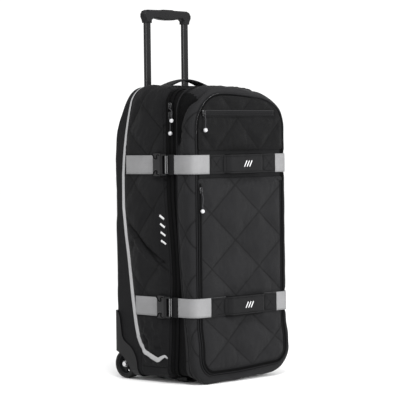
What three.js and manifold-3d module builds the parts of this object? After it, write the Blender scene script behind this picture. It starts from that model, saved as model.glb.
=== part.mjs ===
// Rolling duffel bag: an upright soft bag on two wheels, with a telescopic trolley
// handle, a zipped front lid, compression straps with side-release buckles, carry
// handles and two outside pockets.
// Millimetres, +Z up, +X right, the front faces -Y, origin on the ground at the middle.

import * as THREE from 'three';
import { mergeVertices } from 'three/addons/utils/BufferGeometryUtils.js';
import Module from 'manifold-3d';

const wasm = await Module();
wasm.setup();

// ---------------------------------------------------------------- driving dimensions
const GAP = 0.3;                 // air between two pieces that touch
const WALL = 5;                  // padded fabric wall
const HALF_WIDTH = 183;          // of the fabric body
const BODY_BOTTOM = 13;
const BODY_TOP = 785;
const BODY_BACK = 150;
const ZIP_Y = -62;               // plane of the main zip, between body and lid
const ZIP_TOP = 781;
const ZIP_BOTTOM = 14;
const ZIP_TOP_RADIUS = 48;
const ZIP_BOTTOM_RADIUS = 30;
const ZIP_RECESS = 7;            // the zip lies this far inside the outline
const SHOULDER_Y = 78;           // where the flat top starts to curve down to the back
const SHOULDER_Z = 600;          // where that curve reaches the flat back
const SHOULDER_POWER = 1.65;
const BACK_EDGE_RADIUS = 18;
const BODY_TOP_RADIUS = 40;
const BODY_BOTTOM_RADIUS = 25;

const LID_FRONT = -147;          // lid fabric, under the pockets
const LID_EDGE_RADIUS = 18;
const LID_TOP = 778;
const LID_BOTTOM = 9;
const LID_TOP_RADIUS = 110;
const LID_BOTTOM_RADIUS = 64;
const POCKET_THICKNESS = 3.7;
const POCKET_EDGE = 2;           // pocket outline inside the lid's front outline
const FRONT = LID_FRONT - GAP - POCKET_THICKNESS;    // outer face of the pockets

const WEB = 2.5;                 // webbing thickness
const STRAP_HEIGHT = 50;
const STRAP_Z = { upper: 578, lower: 203 };
const STRAP_BACK_Y = { upper: 92, lower: 62 };
const STRAP_SHIFT = { upper: 0, lower: -9 };         // the lower buckles sit further forward
const STRAP_FRONT = FRONT - 2;                       // inner face of the front webbing
const BUCKLE_Y = { left: -14, right: -8 };           // back end of each upper buckle
const BUCKLE_HEIGHT = 60;
const SOCKET_LENGTH = 27;
const SOCKET_THICKNESS = 13.5;
const PLUG_LENGTH = 22.5;
const PLUG_HEIGHT = 50;
const HINGE = { x: 186, y: ZIP_Y };

const WHEEL = { x: 152, y: 131, radius: 38.5, width: 34, rim: 28, bearing: 8, axle: 4, facets: 28 };
const WELL_CLEARANCE = 4;
const NOTCH = { x: 124, y: 85.5, z: 84 };
const HOUSING_SKIN = 4;

const TUBE = { x: 72.5, y: 126, width: 20, depth: 10, wall: 1.5, bottom: 640, top: 976 };
const CHANNEL = { width: 26, depth: 16, wall: 2.3, slot: 6, bottom: 44, top: 664 };
const GRIP = { bottom: 962, underside: 975, top: 998, half: 91, depth: 22, bevel: 4 };
const CHAMBER = { bottom: 980.2, top: 988.8 };      // the slot in the grip for the crossbar
const BAR = { bottom: 984.4, top: 988.4 };          // the crossbar under the button
const SPRING = { bottom: 975, top: 984, wire: 0.5 };

const PULL_CORD = 2.5;
const BALL_RADIUS = 5.5;

// ---------------------------------------------------------------- finishes
const FINISH = {
  quiltedFabric: ['#232326', 0.9, 0],
  smoothFabric: ['#1b1b1e', 0.85, 0],
  toughFabric: ['#161618', 0.7, 0],
  lining: ['#2c2c30', 0.9, 0],
  greyWebbing: ['#a9aaae', 0.8, 0],
  blackWebbing: ['#1d1d20', 0.85, 0],
  trim: ['#b4b6ba', 0.5, 0],
  zipTape: ['#121214', 0.8, 0],
  plastic: ['#151516', 0.45, 0],
  board: ['#3a3a3c', 0.6, 0],
  aluminium: ['#55585c', 0.35, 0.9],
  steel: ['#b8babd', 0.3, 1],
  rubber: ['#1a1a1b', 0.8, 0],
  hub: ['#26282b', 0.5, 0],
  cord: ['#26262a', 0.8, 0],
  silver: ['#dcdde0', 0.35, 0.2],
};

// ---------------------------------------------------------------- geometry helpers
const radians = (degrees) => (degrees * Math.PI) / 180;
const mirrored = (points) => points.map(([a, b]) => [-a, b]).reverse();

function solidOf(geometry) {
  const plain = geometry.clone();
  plain.deleteAttribute('normal');
  plain.deleteAttribute('uv');
  const merged = mergeVertices(plain, 1e-3);
  return new wasm.Manifold(new wasm.Mesh({
    numProp: 3,
    vertProperties: new Float32Array(merged.attributes.position.array),
    triVerts: new Uint32Array(merged.index.array),
  }));
}

function geometryOf(solid) {
  const mesh = solid.getMesh();
  const geometry = new THREE.BufferGeometry();
  const positions = new Float32Array(mesh.vertProperties);
  geometry.setAttribute('position', new THREE.BufferAttribute(positions, mesh.numProp));
  geometry.setIndex(Array.from(mesh.triVerts));
  geometry.computeVertexNormals();
  return geometry;
}

const join = (solids) => solids.reduce((whole, next) => whole.add(next));
const cut = (solid, ...tools) => tools.reduce((rest, tool) => rest.subtract(tool), solid);

function signedVolume(positions, index) {
  const [a, b, c] = [new THREE.Vector3(), new THREE.Vector3(), new THREE.Vector3()];
  let volume = 0;
  for (let i = 0; i < index.length; i += 3) {
    a.fromArray(positions, 3 * index[i]);
    b.fromArray(positions, 3 * index[i + 1]);
    c.fromArray(positions, 3 * index[i + 2]);
    volume += a.dot(b.cross(c)) / 6;
  }
  return volume;
}

// A closed solid through rings of equal point counts, with a fan at each end.
function loft(rings) {
  const count = rings[0].length;
  const positions = rings.flat(2);
  const index = [];
  for (let r = 0; r + 1 < rings.length; r += 1) {
    for (let i = 0; i < count; i += 1) {
      const a = r * count + i;
      const b = r * count + ((i + 1) % count);
      index.push(a, b, b + count, a, b + count, a + count);
    }
  }
  const last = (rings.length - 1) * count;
  for (let i = 1; i + 1 < count; i += 1) {
    index.push(0, i + 1, i, last, last + i, last + i + 1);
  }
  if (signedVolume(positions, index) < 0) index.reverse();
  const geometry = new THREE.BufferGeometry();
  geometry.setAttribute('position', new THREE.BufferAttribute(new Float32Array(positions), 3));
  geometry.setIndex(index);
  return solidOf(geometry);
}

// An outline in two coordinates, extruded along the third from one value to another.
function prism(axis, outline, from, to, { holes = [], bevel = 0 } = {}) {
  const swap = axis === 'y';     // keeps the extruded solid right-handed
  const vectors = (points) => points.map(([a, b]) => new THREE.Vector2(swap ? b : a, swap ? a : b));
  const shape = new THREE.Shape(vectors(outline));
  holes.forEach((hole) => shape.holes.push(new THREE.Path(vectors(hole))));
  const geometry = new THREE.ExtrudeGeometry(shape, {
    depth: to - from - 2 * bevel,
    bevelEnabled: bevel > 0,
    bevelThickness: bevel,
    bevelSize: bevel,
    bevelOffset: -bevel,
    bevelSegments: 1,
    curveSegments: 8,
  });
  geometry.translate(0, 0, from + bevel);
  const [x, y, z] = [new THREE.Vector3(1, 0, 0), new THREE.Vector3(0, 1, 0), new THREE.Vector3(0, 0, 1)];
  const frames = { x: [y, z, x], y: [z, x, y], z: [x, y, z] };
  geometry.applyMatrix4(new THREE.Matrix4().makeBasis(...frames[axis]));
  return solidOf(geometry);
}

const rectangle = (a0, a1, b0, b1) => [[a0, b0], [a1, b0], [a1, b1], [a0, b1]];
const block = (x0, x1, y0, y1, z0, z1) => prism('z', rectangle(x0, x1, y0, y1), z0, z1);

// Corner points of a rounded rectangle, counter-clockwise from the lower right corner.
function roundedRectangle(a0, a1, b0, b1, lowRadius, highRadius = lowRadius, steps = 4) {
  const corners = [
    [a1 - lowRadius, b0 + lowRadius, lowRadius, -90],
    [a1 - highRadius, b1 - highRadius, highRadius, 0],
    [a0 + highRadius, b1 - highRadius, highRadius, 90],
    [a0 + lowRadius, b0 + lowRadius, lowRadius, 180],
  ];
  return corners.flatMap(([a, b, radius, start]) => Array.from({ length: steps + 1 }, (_, i) => {
    const angle = radians(start + (90 * i) / steps);
    return [a + radius * Math.cos(angle), b + radius * Math.sin(angle)];
  }));
}

function circle(a, b, radius, segments = 24) {
  return Array.from({ length: segments }, (_, i) => {
    const angle = (2 * Math.PI * i) / segments;
    return [a + radius * Math.cos(angle), b + radius * Math.sin(angle)];
  });
}

// The outline of a band that follows a line, half its width to each side.
function band(points, width) {
  const at = (i) => points[Math.min(Math.max(i, 0), points.length - 1)];
  const side = (sign) => points.map(([a, b], i) => {
    const before = new THREE.Vector2(a - at(i - 1)[0], b - at(i - 1)[1]).normalize();
    const after = new THREE.Vector2(at(i + 1)[0] - a, at(i + 1)[1] - b).normalize();
    const first = before.lengthSq() ? before : after;
    const second = after.lengthSq() ? after : before;
    const normal = new THREE.Vector2(-(first.y + second.y), first.x + second.x).normalize();
    const reach = (sign * width) / 2 / Math.max(0.5, normal.dot(new THREE.Vector2(-first.y, first.x)));
    return [a + normal.x * reach, b + normal.y * reach];
  });
  return [...side(-1), ...side(1).reverse()];
}

// ---------------------------------------------------------------- scene graph
const bag = new THREE.Group();

function bodyGroup(parent, position = [0, 0, 0]) {
  const group = new THREE.Group();
  group.position.set(...position);
  parent.add(group);
  return group;
}

function addPart(group, name, shape, finish) {
  const [color, roughness, metalness] = FINISH[finish];
  const material = new THREE.MeshStandardMaterial({ color, roughness, metalness });
  const mesh = new THREE.Mesh(shape.isBufferGeometry ? shape : geometryOf(shape), material);
  mesh.name = name;
  group.add(mesh);
}

// ---------------------------------------------------------------- soft body
// One cross-section of body or lid in a plane of constant y.
function section(y, { inset, bottom, top, lowRadius, highRadius }) {
  const outline = roundedRectangle(
    -HALF_WIDTH + inset, HALF_WIDTH - inset, bottom + inset, top - inset,
    Math.max(lowRadius - inset, 3), Math.max(highRadius - inset, 3),
  );
  return outline.map(([x, z]) => [x, y, z]);
}

const zipSection = { bottom: ZIP_BOTTOM, top: ZIP_TOP, lowRadius: ZIP_BOTTOM_RADIUS, highRadius: ZIP_TOP_RADIUS };
const bodySection = {
  bottom: BODY_BOTTOM, top: BODY_TOP, lowRadius: BODY_BOTTOM_RADIUS, highRadius: BODY_TOP_RADIUS,
};

// The body, grown outwards by a margin (negative for the hollow inside the wall).
function bodySolid(grow, frontY) {
  const lip = Math.max(-grow, 0);
  const rings = [
    section(frontY, { ...zipSection, inset: ZIP_RECESS - grow }),
    section(ZIP_Y + 14 + lip, { ...zipSection, inset: ZIP_RECESS - grow }),
    section(ZIP_Y + 21 + lip, { ...bodySection, inset: -grow }),
  ];
  for (const angle of [0, 15, 30, 45, 60, 70, 78, 84, 90]) {
    const along = Math.sin(radians(angle)) ** (2 / SHOULDER_POWER);
    const up = Math.cos(radians(angle)) ** (2 / SHOULDER_POWER);
    const y = SHOULDER_Y + (BODY_BACK - SHOULDER_Y + grow) * along;
    const into = Math.max(y - (BODY_BACK + grow - BACK_EDGE_RADIUS), 0);
    const rounding = BACK_EDGE_RADIUS - Math.sqrt(Math.max(BACK_EDGE_RADIUS ** 2 - into ** 2, 0));
    const top = SHOULDER_Z + (BODY_TOP - SHOULDER_Z + grow) * up;
    rings.push(section(y, { ...bodySection, top: top - grow + rounding, inset: rounding - grow }));
  }
  return loft(rings);
}

// The seam on each side, seen along x as y and z: reflective trim from the top
// shoulder down the side, ending in a zigzag over the base.
const TRIM_ROUTE = [
  [58, 790], [74, 751], [87, 710], [97, 672], [106, 619], [110, 572], [110, 483], [102, 403],
  [91, 325], [79, 226], [67, 151], [59, 119], [49, 98], [22, 79], [-22, 61], [-36, 70],
];
const SEAM_TO_BASE = 11;         // route points above the base
const BEHIND_SEAM = [
  ...TRIM_ROUTE.slice(0, SEAM_TO_BASE + 2), [49, -10], [200, -10], [200, 800],
];

const wheelNotches = [-1, 1].map((side) => block(
  side < 0 ? -300 : NOTCH.x, side < 0 ? -NOTCH.x : 300, NOTCH.y, 300, -20, NOTCH.z,
));
const tubeHoles = [-1, 1].map((side) => block(
  side * TUBE.x - 12, side * TUBE.x + 12, TUBE.y - 7, TUBE.y + 7, 650, 900,
));

const shell = cut(bodySolid(0, ZIP_Y), bodySolid(-WALL, ZIP_Y - 10), ...wheelNotches, ...tubeHoles);
const across = (outline) => prism('x', outline, -300, 300);
const backShell = shell.intersect(across(BEHIND_SEAM));
const seamGap = across(band([[45, 820], ...BEHIND_SEAM.slice(0, SEAM_TO_BASE + 2), [49, -40]], GAP * 2));
const frontShell = cut(shell, across(BEHIND_SEAM), seamGap);
const SIDE_TOP = 742;
const SIDE_BOTTOM = 40;

addPart(bag, 'back_panel', cut(backShell, seamGap), 'toughFabric');
for (const [name, x0, x1] of [['side_panel_left', -300, 0], ['side_panel_right', 0, 300]]) {
  addPart(bag, name, frontShell.intersect(block(x0, x1, -200, 200, SIDE_BOTTOM, SIDE_TOP)), 'quiltedFabric');
}
addPart(bag, 'top_panel', frontShell.intersect(block(-300, 300, -200, 200, SIDE_TOP + GAP, 900)), 'quiltedFabric');
addPart(bag, 'bottom_panel', frontShell.intersect(block(-300, 300, -200, 200, 0, SIDE_BOTTOM - GAP)), 'toughFabric');

const hug = (inner, outer) => cut(bodySolid(outer, ZIP_Y), bodySolid(inner, ZIP_Y - 10));
const piping = hug(GAP, 2).intersect(across(band(TRIM_ROUTE, 9)));
addPart(bag, 'side_piping_left', piping.intersect(block(-300, -100, -200, 200, -50, 900)), 'trim');
addPart(bag, 'side_piping_right', piping.intersect(block(100, 300, -200, 200, -50, 900)), 'trim');

// ---------------------------------------------------------------- back frame
addPart(bag, 'backboard', block(-118, 118, 136, 139, 30, 600), 'board');
const liningOutline = [[-121, 22], [121, 22], [121, 102], [165, 102], [165, 730], [-165, 730], [-165, 102], [-121, 102]];
addPart(bag, 'back_lining', prism('y', liningOutline, 106, 108), 'lining');

// A guide channel is a C-section open towards the front, where the lock pin runs.
function channelOutline(x) {
  const [w, d, t] = [CHANNEL.width / 2, CHANNEL.depth / 2, CHANNEL.wall];
  const s = CHANNEL.slot / 2;
  return [
    [s, -d], [w, -d], [w, d], [-w, d], [-w, -d], [-s, -d],
    [-s, -d + t], [-w + t, -d + t], [-w + t, d - t], [w - t, d - t], [w - t, -d + t], [s, -d + t],
  ].map(([a, b]) => [x + a, TUBE.y + b]);
}
addPart(bag, 'guide_frame', join([
  ...[-1, 1].map((side) => prism('z', channelOutline(side * TUBE.x), CHANNEL.bottom - 2, CHANNEL.top)),
  block(-92, 92, 112, 134, 24, CHANNEL.bottom),
]), 'aluminium');

const bezelBlank = hug(GAP, 7).intersect(block(-94, 94, 111, 139, 660, 800));
addPart(bag, 'handle_bezel', cut(bezelBlank, ...[-1, 1].map((side) => block(
  side * TUBE.x - 10.6, side * TUBE.x + 10.6, TUBE.y - 5.6, TUBE.y + 5.6, 600, 900,
))), 'plastic');

// ---------------------------------------------------------------- trolley handle
const handle = bodyGroup(bag);
for (const [name, side] of [['slide_tube_left', -1], ['slide_tube_right', 1]]) {
  const x = side * TUBE.x;
  const [w, d, t] = [TUBE.width / 2, TUBE.depth / 2, TUBE.wall];
  const outline = roundedRectangle(x - w, x + w, TUBE.y - d, TUBE.y + d, 2, 2, 2);
  const bore = rectangle(x - w + t, x + w - t, TUBE.y - d + t, TUBE.y + d - t);
  const pinHole = prism('y', circle(x, TUBE.bottom + 15, 2.5, 12), TUBE.y - 20, TUBE.y);
  const tube = prism('z', outline, TUBE.bottom, TUBE.top, { holes: [bore] });
  addPart(handle, name, cut(tube, pinHole), 'aluminium');
}

const SOCKET = { inner: TUBE.x - 12, outer: TUBE.x + 12 };
const gripHalf = [
  [SOCKET.inner, GRIP.bottom], [SOCKET.outer, GRIP.bottom], [SOCKET.outer + 2, 970], [GRIP.half, 978],
  [GRIP.half, 986], [86, 994], [76, GRIP.top], [34, GRIP.top + 0.5],
];
const gripUnderside = [[0, 971], [24, 972], [42, GRIP.underside], [54, GRIP.underside], [SOCKET.inner, 970]];
const gripOutline = [...gripHalf, ...mirrored(gripHalf), ...mirrored(gripUnderside).slice(0, -1), ...gripUnderside];
const gripBlank = prism('y', gripOutline, TUBE.y - GRIP.depth / 2, TUBE.y + GRIP.depth / 2, { bevel: GRIP.bevel });
addPart(handle, 'grip', cut(
  gripBlank,
  block(-26, 26, TUBE.y - 8.3, TUBE.y + 8.3, CHAMBER.bottom, 1010),
  block(-6, 6, TUBE.y - 6, TUBE.y + 6, SPRING.bottom - GAP, CHAMBER.bottom + 1),
  block(-77, 77, TUBE.y - 3.3, TUBE.y + 3.3, CHAMBER.bottom, CHAMBER.top),
  ...[-1, 1].map((side) => block(
    side * TUBE.x - 10.3, side * TUBE.x + 10.3, TUBE.y - 5.3, TUBE.y + 5.3, 900, TUBE.top + GAP,
  )),
  ...[-1, 1].map((side) => block(
    side * TUBE.x - 3, side * TUBE.x + 3, TUBE.y - 3, TUBE.y + 3, TUBE.top, CHAMBER.bottom + 1,
  )),
), 'plastic');

// Release: a button on a crossbar with a rod down each tube, and a spring below it.
const release = bodyGroup(handle);
const buttonOutline = [[-25, BAR.top - 1], [25, BAR.top - 1], [25, 998.5], [18, 1000], [-18, 1000], [-25, 998.5]];
const rods = [-1, 1].map((side) => prism('z', circle(side * TUBE.x, TUBE.y, 2, 10), TUBE.bottom + 26, BAR.top));
addPart(release, 'release_button', join([
  prism('y', buttonOutline, TUBE.y - 7.6, TUBE.y + 7.6),
  block(-75, 75, 123.4, 128.6, BAR.bottom, BAR.top),
  ...rods,
]), 'plastic');

function springCurve(turns, radius, z0, z1) {
  const steps = turns * 10;
  const points = Array.from({ length: steps + 1 }, (_, i) => {
    const angle = (2 * Math.PI * turns * i) / steps;
    const z = z0 + ((z1 - z0) * i) / steps;
    return new THREE.Vector3(radius * Math.cos(angle), TUBE.y + radius * Math.sin(angle), z);
  });
  return new THREE.CatmullRomCurve3(points);
}
const wire = new THREE.Shape(circle(0, 0, SPRING.wire, 5).map(([a, b]) => new THREE.Vector2(a, b)));
const springPath = springCurve(2, 4, SPRING.bottom + SPRING.wire, SPRING.top - SPRING.wire);
addPart(handle, 'button_spring', solidOf(new THREE.ExtrudeGeometry(wire, {
  steps: 20, extrudePath: springPath, bevelEnabled: false,
})), 'steel');

// ---------------------------------------------------------------- wheels and feet
// The housing's outline on the side of the bag, as y and z: a guard up the back
// edge that widens to a corner shell around the wheel.
const HOUSING_OUTLINE = [
  [64, 5], [63, 42], [66, 56], [71, 69], [79, 81], [90, 91], [104, 99], [115, 107], [121, 118],
  [124, 137], [128, 165], [134, 179], [146, 185], [175, 185], [175, 5],
];
const wellCircle = circle(WHEEL.y, WHEEL.radius, WHEEL.radius + WELL_CLEARANCE, 28);
const wellMouth = [
  [85, -20], [200, -20], [200, 77], [150, 76], [139, 74], [128, 69], [118, 62.5], [107, 53],
  [98.5, 43], [91, 32], [87, 24], [85, 13],
];

function housing(side) {
  const [inner, outer] = [NOTCH.x + GAP, 300];
  const half = (x0, x1, outline) => prism('x', outline, side < 0 ? -x1 : x0, side < 0 ? -x0 : x1);
  const blank = bodySolid(HOUSING_SKIN, ZIP_Y).intersect(half(inner, outer, HOUSING_OUTLINE));
  const kept = cut(bodySolid(GAP, ZIP_Y - 10), half(NOTCH.x - 1, outer, [
    [NOTCH.y + GAP, -20], [300, -20], [300, NOTCH.z - GAP], [NOTCH.y + GAP, NOTCH.z - GAP],
  ]));
  const wallInner = WHEEL.x - WHEEL.width / 2 - 3;
  const wallOuter = WHEEL.x + WHEEL.width / 2 + 3;
  const well = half(wallInner, wallOuter, wellCircle);
  const below = half(wallInner, wallOuter, rectangle(WHEEL.y - WHEEL.radius - WELL_CLEARANCE, 200, -20, WHEEL.radius));
  const behind = half(wallInner, wallOuter, rectangle(WHEEL.y, 200, -20, 72));
  const open = half(WHEEL.x - WHEEL.width / 2 - 3, 300, wellMouth);
  const bore = half(100, wallInner + 1, circle(WHEEL.y, WHEEL.radius, WHEEL.axle + GAP, 16));
  return cut(blank, kept, well, below, behind, open, bore);
}

for (const [name, side] of [['left', -1], ['right', 1]]) {
  addPart(bag, `wheel_housing_${name}`, housing(side), 'plastic');

  const wheel = bodyGroup(bag, [side * WHEEL.x, WHEEL.y, WHEEL.radius]);
  const half = WHEEL.width / 2;
  const turned = (profile, segments) => {
    const points = profile.map(([radius, x]) => new THREE.Vector2(radius, x));
    return new THREE.LatheGeometry([...points, points[0]], segments).rotateZ(radians(-90));
  };
  const shoulder = WHEEL.radius - 2;
  const tyre = [
    [WHEEL.rim, -half + 4], [shoulder - 4, -half], [shoulder, -half + 3], [WHEEL.radius, -half + 9],
    [WHEEL.radius, half - 9], [shoulder, half - 3], [shoulder - 4, half], [WHEEL.rim, half - 4],
  ];
  addPart(wheel, `tyre_${name}`, solidOf(turned(tyre, WHEEL.facets)), 'rubber');
  const rim = WHEEL.rim - GAP;
  const hubProfile = [
    [WHEEL.bearing, -13], [12, -13], [13.5, -3], [24.3, -3], [25.3, -12], [rim, -12],
    [rim, 12], [25.3, 12], [24.3, 3], [13.5, 3], [12, 13], [WHEEL.bearing, 13],
  ];
  const windows = Array.from({ length: 6 }, (_, i) => {
    const angle = radians(60 * i + 30);
    return prism('x', circle(19 * Math.cos(angle), 19 * Math.sin(angle), 4.6, 8), -30, 30);
  });
  addPart(wheel, `wheel_hub_${name}`, cut(solidOf(turned(hubProfile, WHEEL.facets)), ...windows), 'hub');
  const [bore, outside] = [WHEEL.axle + GAP, WHEEL.bearing - GAP];
  const bearing = turned([[bore, -13], [outside, -13], [outside, 13], [bore, 13]], 16);
  addPart(wheel, `wheel_bearing_${name}`, solidOf(bearing), 'steel');
  const span = (a, b, radius) => prism(
    'x', circle(WHEEL.y, WHEEL.radius, radius, 16), side < 0 ? -b : a, side < 0 ? -a : b,
  );
  addPart(bag, `wheel_axle_${name}`, join([
    span(NOTCH.x + 2, WHEEL.x + half, WHEEL.axle),
    span(WHEEL.x + 14, WHEEL.x + half + 1, 6.5),
  ]), 'steel');
}

const footOutline = [[-66, 12.7], [-68, 6], [-63, 0], [-37, 0], [-32, 6], [-34, 12.7]];
addPart(bag, 'foot_bar', prism('x', footOutline, -131, 131), 'plastic');

// ---------------------------------------------------------------- top carry handle
const ARCH = { half: 81, rise: 19 };
const archPoint = (x) => {
  const reach = Math.max(0, Math.cos((Math.PI / 2) * Math.min(Math.abs(x) / ARCH.half, 1)));
  return [x, BODY_TOP + GAP + 1.8 + ARCH.rise * reach ** 1.1];
};
const archLine = [-83, -62, -52, -42, -32, -22, -11, 0, 11, 22, 32, 42, 52, 62, 83].map(archPoint);
addPart(bag, 'top_handle', prism('y', band(archLine, 3), 38, 76), 'blackWebbing');

// ---------------------------------------------------------------- compression straps
const LEVELS = ['upper', 'lower'];
const SIDES = [['left', -1], ['right', 1]];
const outwards = (side, a, b) => (side < 0 ? [-b, -a] : [a, b]);
const WEB_INNER = HALF_WIDTH + GAP;
const SOCKET_INNER = HALF_WIDTH + 0.8;
const strapSpan = (level) => [STRAP_Z[level] - STRAP_HEIGHT / 2, STRAP_Z[level] + STRAP_HEIGHT / 2];
const buckleBack = (name, level) => BUCKLE_Y[name] + (name === 'left' ? STRAP_SHIFT[level] : 0);

function buckleSocket(side, backY, z) {
  const [x0, x1] = outwards(side, SOCKET_INNER, SOCKET_INNER + SOCKET_THICKNESS);
  const outline = roundedRectangle(backY - SOCKET_LENGTH, backY, z - BUCKLE_HEIGHT / 2, z + BUCKLE_HEIGHT / 2, 5);
  const [p0, p1] = outwards(side, SOCKET_INNER + 2.5, SOCKET_INNER + SOCKET_THICKNESS - 2.5);
  const pocket = prism('x', rectangle(backY - 40, backY - 4, z - 23.5, z + 23.5), p0, p1);
  const windows = [-1, 1].map((end) => prism('x', roundedRectangle(
    backY - 21, backY - 8, z + end * 28 - 6, z + end * 28 + 6, 4,
  ), p0, p1));
  return cut(prism('x', outline, x0, x1, { bevel: 2.4 }), pocket, ...windows);
}

function bucklePlug(side, backY, z) {
  const front = backY - SOCKET_LENGTH - GAP;
  const [x0, x1] = outwards(side, SOCKET_INNER + 1.2, SOCKET_INNER + 11.5);
  const frameOutline = roundedRectangle(front - PLUG_LENGTH, front, z - PLUG_HEIGHT / 2 - 3, z + PLUG_HEIGHT / 2 + 3, 4);
  const window = roundedRectangle(front - PLUG_LENGTH + 5, front - 8, z - 24, z + 24, 2);
  const plugFrame = prism('x', frameOutline, x0, x1, { holes: [window] });
  const [p0, p1] = outwards(side, SOCKET_INNER + 4.8, SOCKET_INNER + 8.8);
  const prongs = [-1, 1].map((end) => prism('x', [
    [front - 4, z + end * 14], [front - 4, z + end * 20], [front + 12, z + end * 20],
    [front + 15, z + end * 22.5], [front + 21, z + end * 19], [front + 21, z + end * 14],
  ], p0, p1));
  const guide = prism('x', rectangle(front - 4, front + 17, z - 4, z + 4), p0, p1);
  return join([plugFrame, ...prongs, guide]);
}

for (const level of LEVELS) {
  for (const [name, side] of SIDES) {
    const [x0, x1] = outwards(side, WEB_INNER, WEB_INNER + WEB);
    const backY = buckleBack(name, level);
    const strap = block(x0, x1, backY + GAP, STRAP_BACK_Y[level], ...strapSpan(level));
    addPart(bag, `side_strap_${level}_${name}`, strap, 'greyWebbing');
  }
  const [leftBack, rightBack] = [buckleBack('left', level), buckleBack('right', level)];
  addPart(bag, `buckle_socket_${level}_left`, buckleSocket(-1, leftBack, STRAP_Z[level]), 'plastic');
  // The right-hand buckle stays clipped, so its socket and plug are one piece.
  addPart(bag, `buckle_${level}_right`, join([
    buckleSocket(1, rightBack, STRAP_Z[level]),
    bucklePlug(1, rightBack + 2 * GAP, STRAP_Z[level]),
  ]), 'plastic');
}

// ---------------------------------------------------------------- lid
const lid = bodyGroup(bag);
const lidSection = { bottom: LID_BOTTOM, top: LID_TOP, lowRadius: LID_BOTTOM_RADIUS, highRadius: LID_TOP_RADIUS };
const midSection = { bottom: 12, top: 780, lowRadius: 38, highRadius: 66 };

function lidSolid(wall, backY) {
  const front = LID_FRONT + wall;
  const radius = LID_EDGE_RADIUS - Math.min(wall, 3);
  const rings = [
    section(backY, { ...zipSection, inset: ZIP_RECESS + wall }),
    section(ZIP_Y - 14 - wall, { ...zipSection, inset: ZIP_RECESS + wall }),
    section(ZIP_Y - 20 - wall, { ...midSection, inset: wall }),
    section(ZIP_Y - 40, { ...lidSection, highRadius: 94, lowRadius: 56, inset: wall }),
  ];
  for (const angle of [0, 22.5, 45, 67.5, 90]) {
    const y = front + radius * (1 - Math.sin(radians(angle)));
    const inset = wall + radius * (1 - Math.cos(radians(angle)));
    rings.push(section(y, { ...lidSection, inset }));
  }
  return loft(rings);
}

const lidShell = cut(lidSolid(0, ZIP_Y - GAP), lidSolid(WALL, ZIP_Y + 10));
const LID_SEAM = LID_FRONT + LID_EDGE_RADIUS;
addPart(lid, 'lid_gusset', lidShell.intersect(block(-300, 300, LID_SEAM + GAP, 0, -50, 900)), 'quiltedFabric');
addPart(lid, 'lid_front', lidShell.intersect(block(-300, 300, -300, LID_SEAM, -50, 900)), 'quiltedFabric');

const frontInset = LID_EDGE_RADIUS + POCKET_EDGE;
const frontOutline = roundedRectangle(
  -HALF_WIDTH + frontInset, HALF_WIDTH - frontInset, LID_BOTTOM + frontInset, LID_TOP - frontInset,
  LID_BOTTOM_RADIUS - frontInset, LID_TOP_RADIUS - frontInset, 8,
);
const frontSheet = prism('y', frontOutline, FRONT, LID_FRONT - GAP);
const POCKETS = { upper: [614, 800], lower: [0, 541] };
const POCKET_ZIP = {
  width: 11, raise: 1.2, upperZ: 712, left: -150, right: 130, lowerX: -159.5, lowerTop: 531, lowerBottom: 62,
};
const [tapeFront, tapeHalf] = [FRONT - POCKET_ZIP.raise, POCKET_ZIP.width / 2];
const pocketTapes = {
  upper: block(POCKET_ZIP.left, POCKET_ZIP.right, tapeFront, FRONT + 1,
    POCKET_ZIP.upperZ - tapeHalf, POCKET_ZIP.upperZ + tapeHalf),
  lower: block(POCKET_ZIP.lowerX - tapeHalf, POCKET_ZIP.lowerX + tapeHalf, tapeFront, FRONT + 1,
    POCKET_ZIP.lowerBottom, POCKET_ZIP.lowerTop),
};
for (const level of LEVELS) {
  const zone = block(-300, 300, -300, 0, ...POCKETS[level]);
  addPart(lid, `${level}_pocket`, frontSheet.intersect(zone).add(pocketTapes[level]), 'quiltedFabric');
}

// Front webbing: forward along each side of the lid, round the corner and across.
const CORNER_STEPS = 4;
function frontStrapLine(leftY) {
  const x = WEB_INNER + WEB / 2;
  const y = STRAP_FRONT - WEB / 2;
  const radius = LID_EDGE_RADIUS + 5;
  const corner = (centre, start) => Array.from({ length: CORNER_STEPS + 1 }, (_, i) => {
    const angle = radians(start + (90 * i) / CORNER_STEPS);
    return [centre + radius * Math.cos(angle), y + radius + radius * Math.sin(angle)];
  });
  return [[-x, leftY], ...corner(-x + radius, 180), ...corner(x - radius, 270), [x, ZIP_Y - 1]];
}

// The carry handle: flat ends stitched to the webbing and a padded arch between.
const HANDLE = { half: 127, patch: 78, crown: 56, stand: 11, pad: 6 };
function carryHandleOutline() {
  const inner = STRAP_FRONT - WEB - GAP;
  const xs = [-HANDLE.half, -HANDLE.patch, -66, -HANDLE.crown, -40, -20, 0, 20, 40, HANDLE.crown, 66, HANDLE.patch, HANDLE.half];
  const lift = (x) => {
    const t = Math.min(Math.max((HANDLE.patch - Math.abs(x)) / (HANDLE.patch - HANDLE.crown), 0), 1);
    return t * t * (3 - 2 * t);
  };
  const near = xs.map((x) => [x, inner - (HANDLE.stand - 3) * lift(x)]);
  const far = xs.map((x) => [x, inner - WEB - (HANDLE.stand - 3 + HANDLE.pad - WEB) * lift(x)]);
  return [...far, ...near.reverse()];
}

for (const level of LEVELS) {
  const plugEnd = buckleBack('left', level) - SOCKET_LENGTH - GAP - PLUG_LENGTH;
  const strap = prism('z', band(frontStrapLine(plugEnd - GAP), WEB), ...strapSpan(level));
  addPart(lid, `front_strap_${level}`, strap, 'greyWebbing');
  const grip = prism('z', carryHandleOutline(), ...strapSpan(level));
  addPart(lid, `carry_handle_${level}`, grip, 'blackWebbing');
  const plug = bucklePlug(-1, buckleBack('left', level), STRAP_Z[level]);
  addPart(lid, `buckle_plug_${level}_left`, plug, 'plastic');
}

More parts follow.
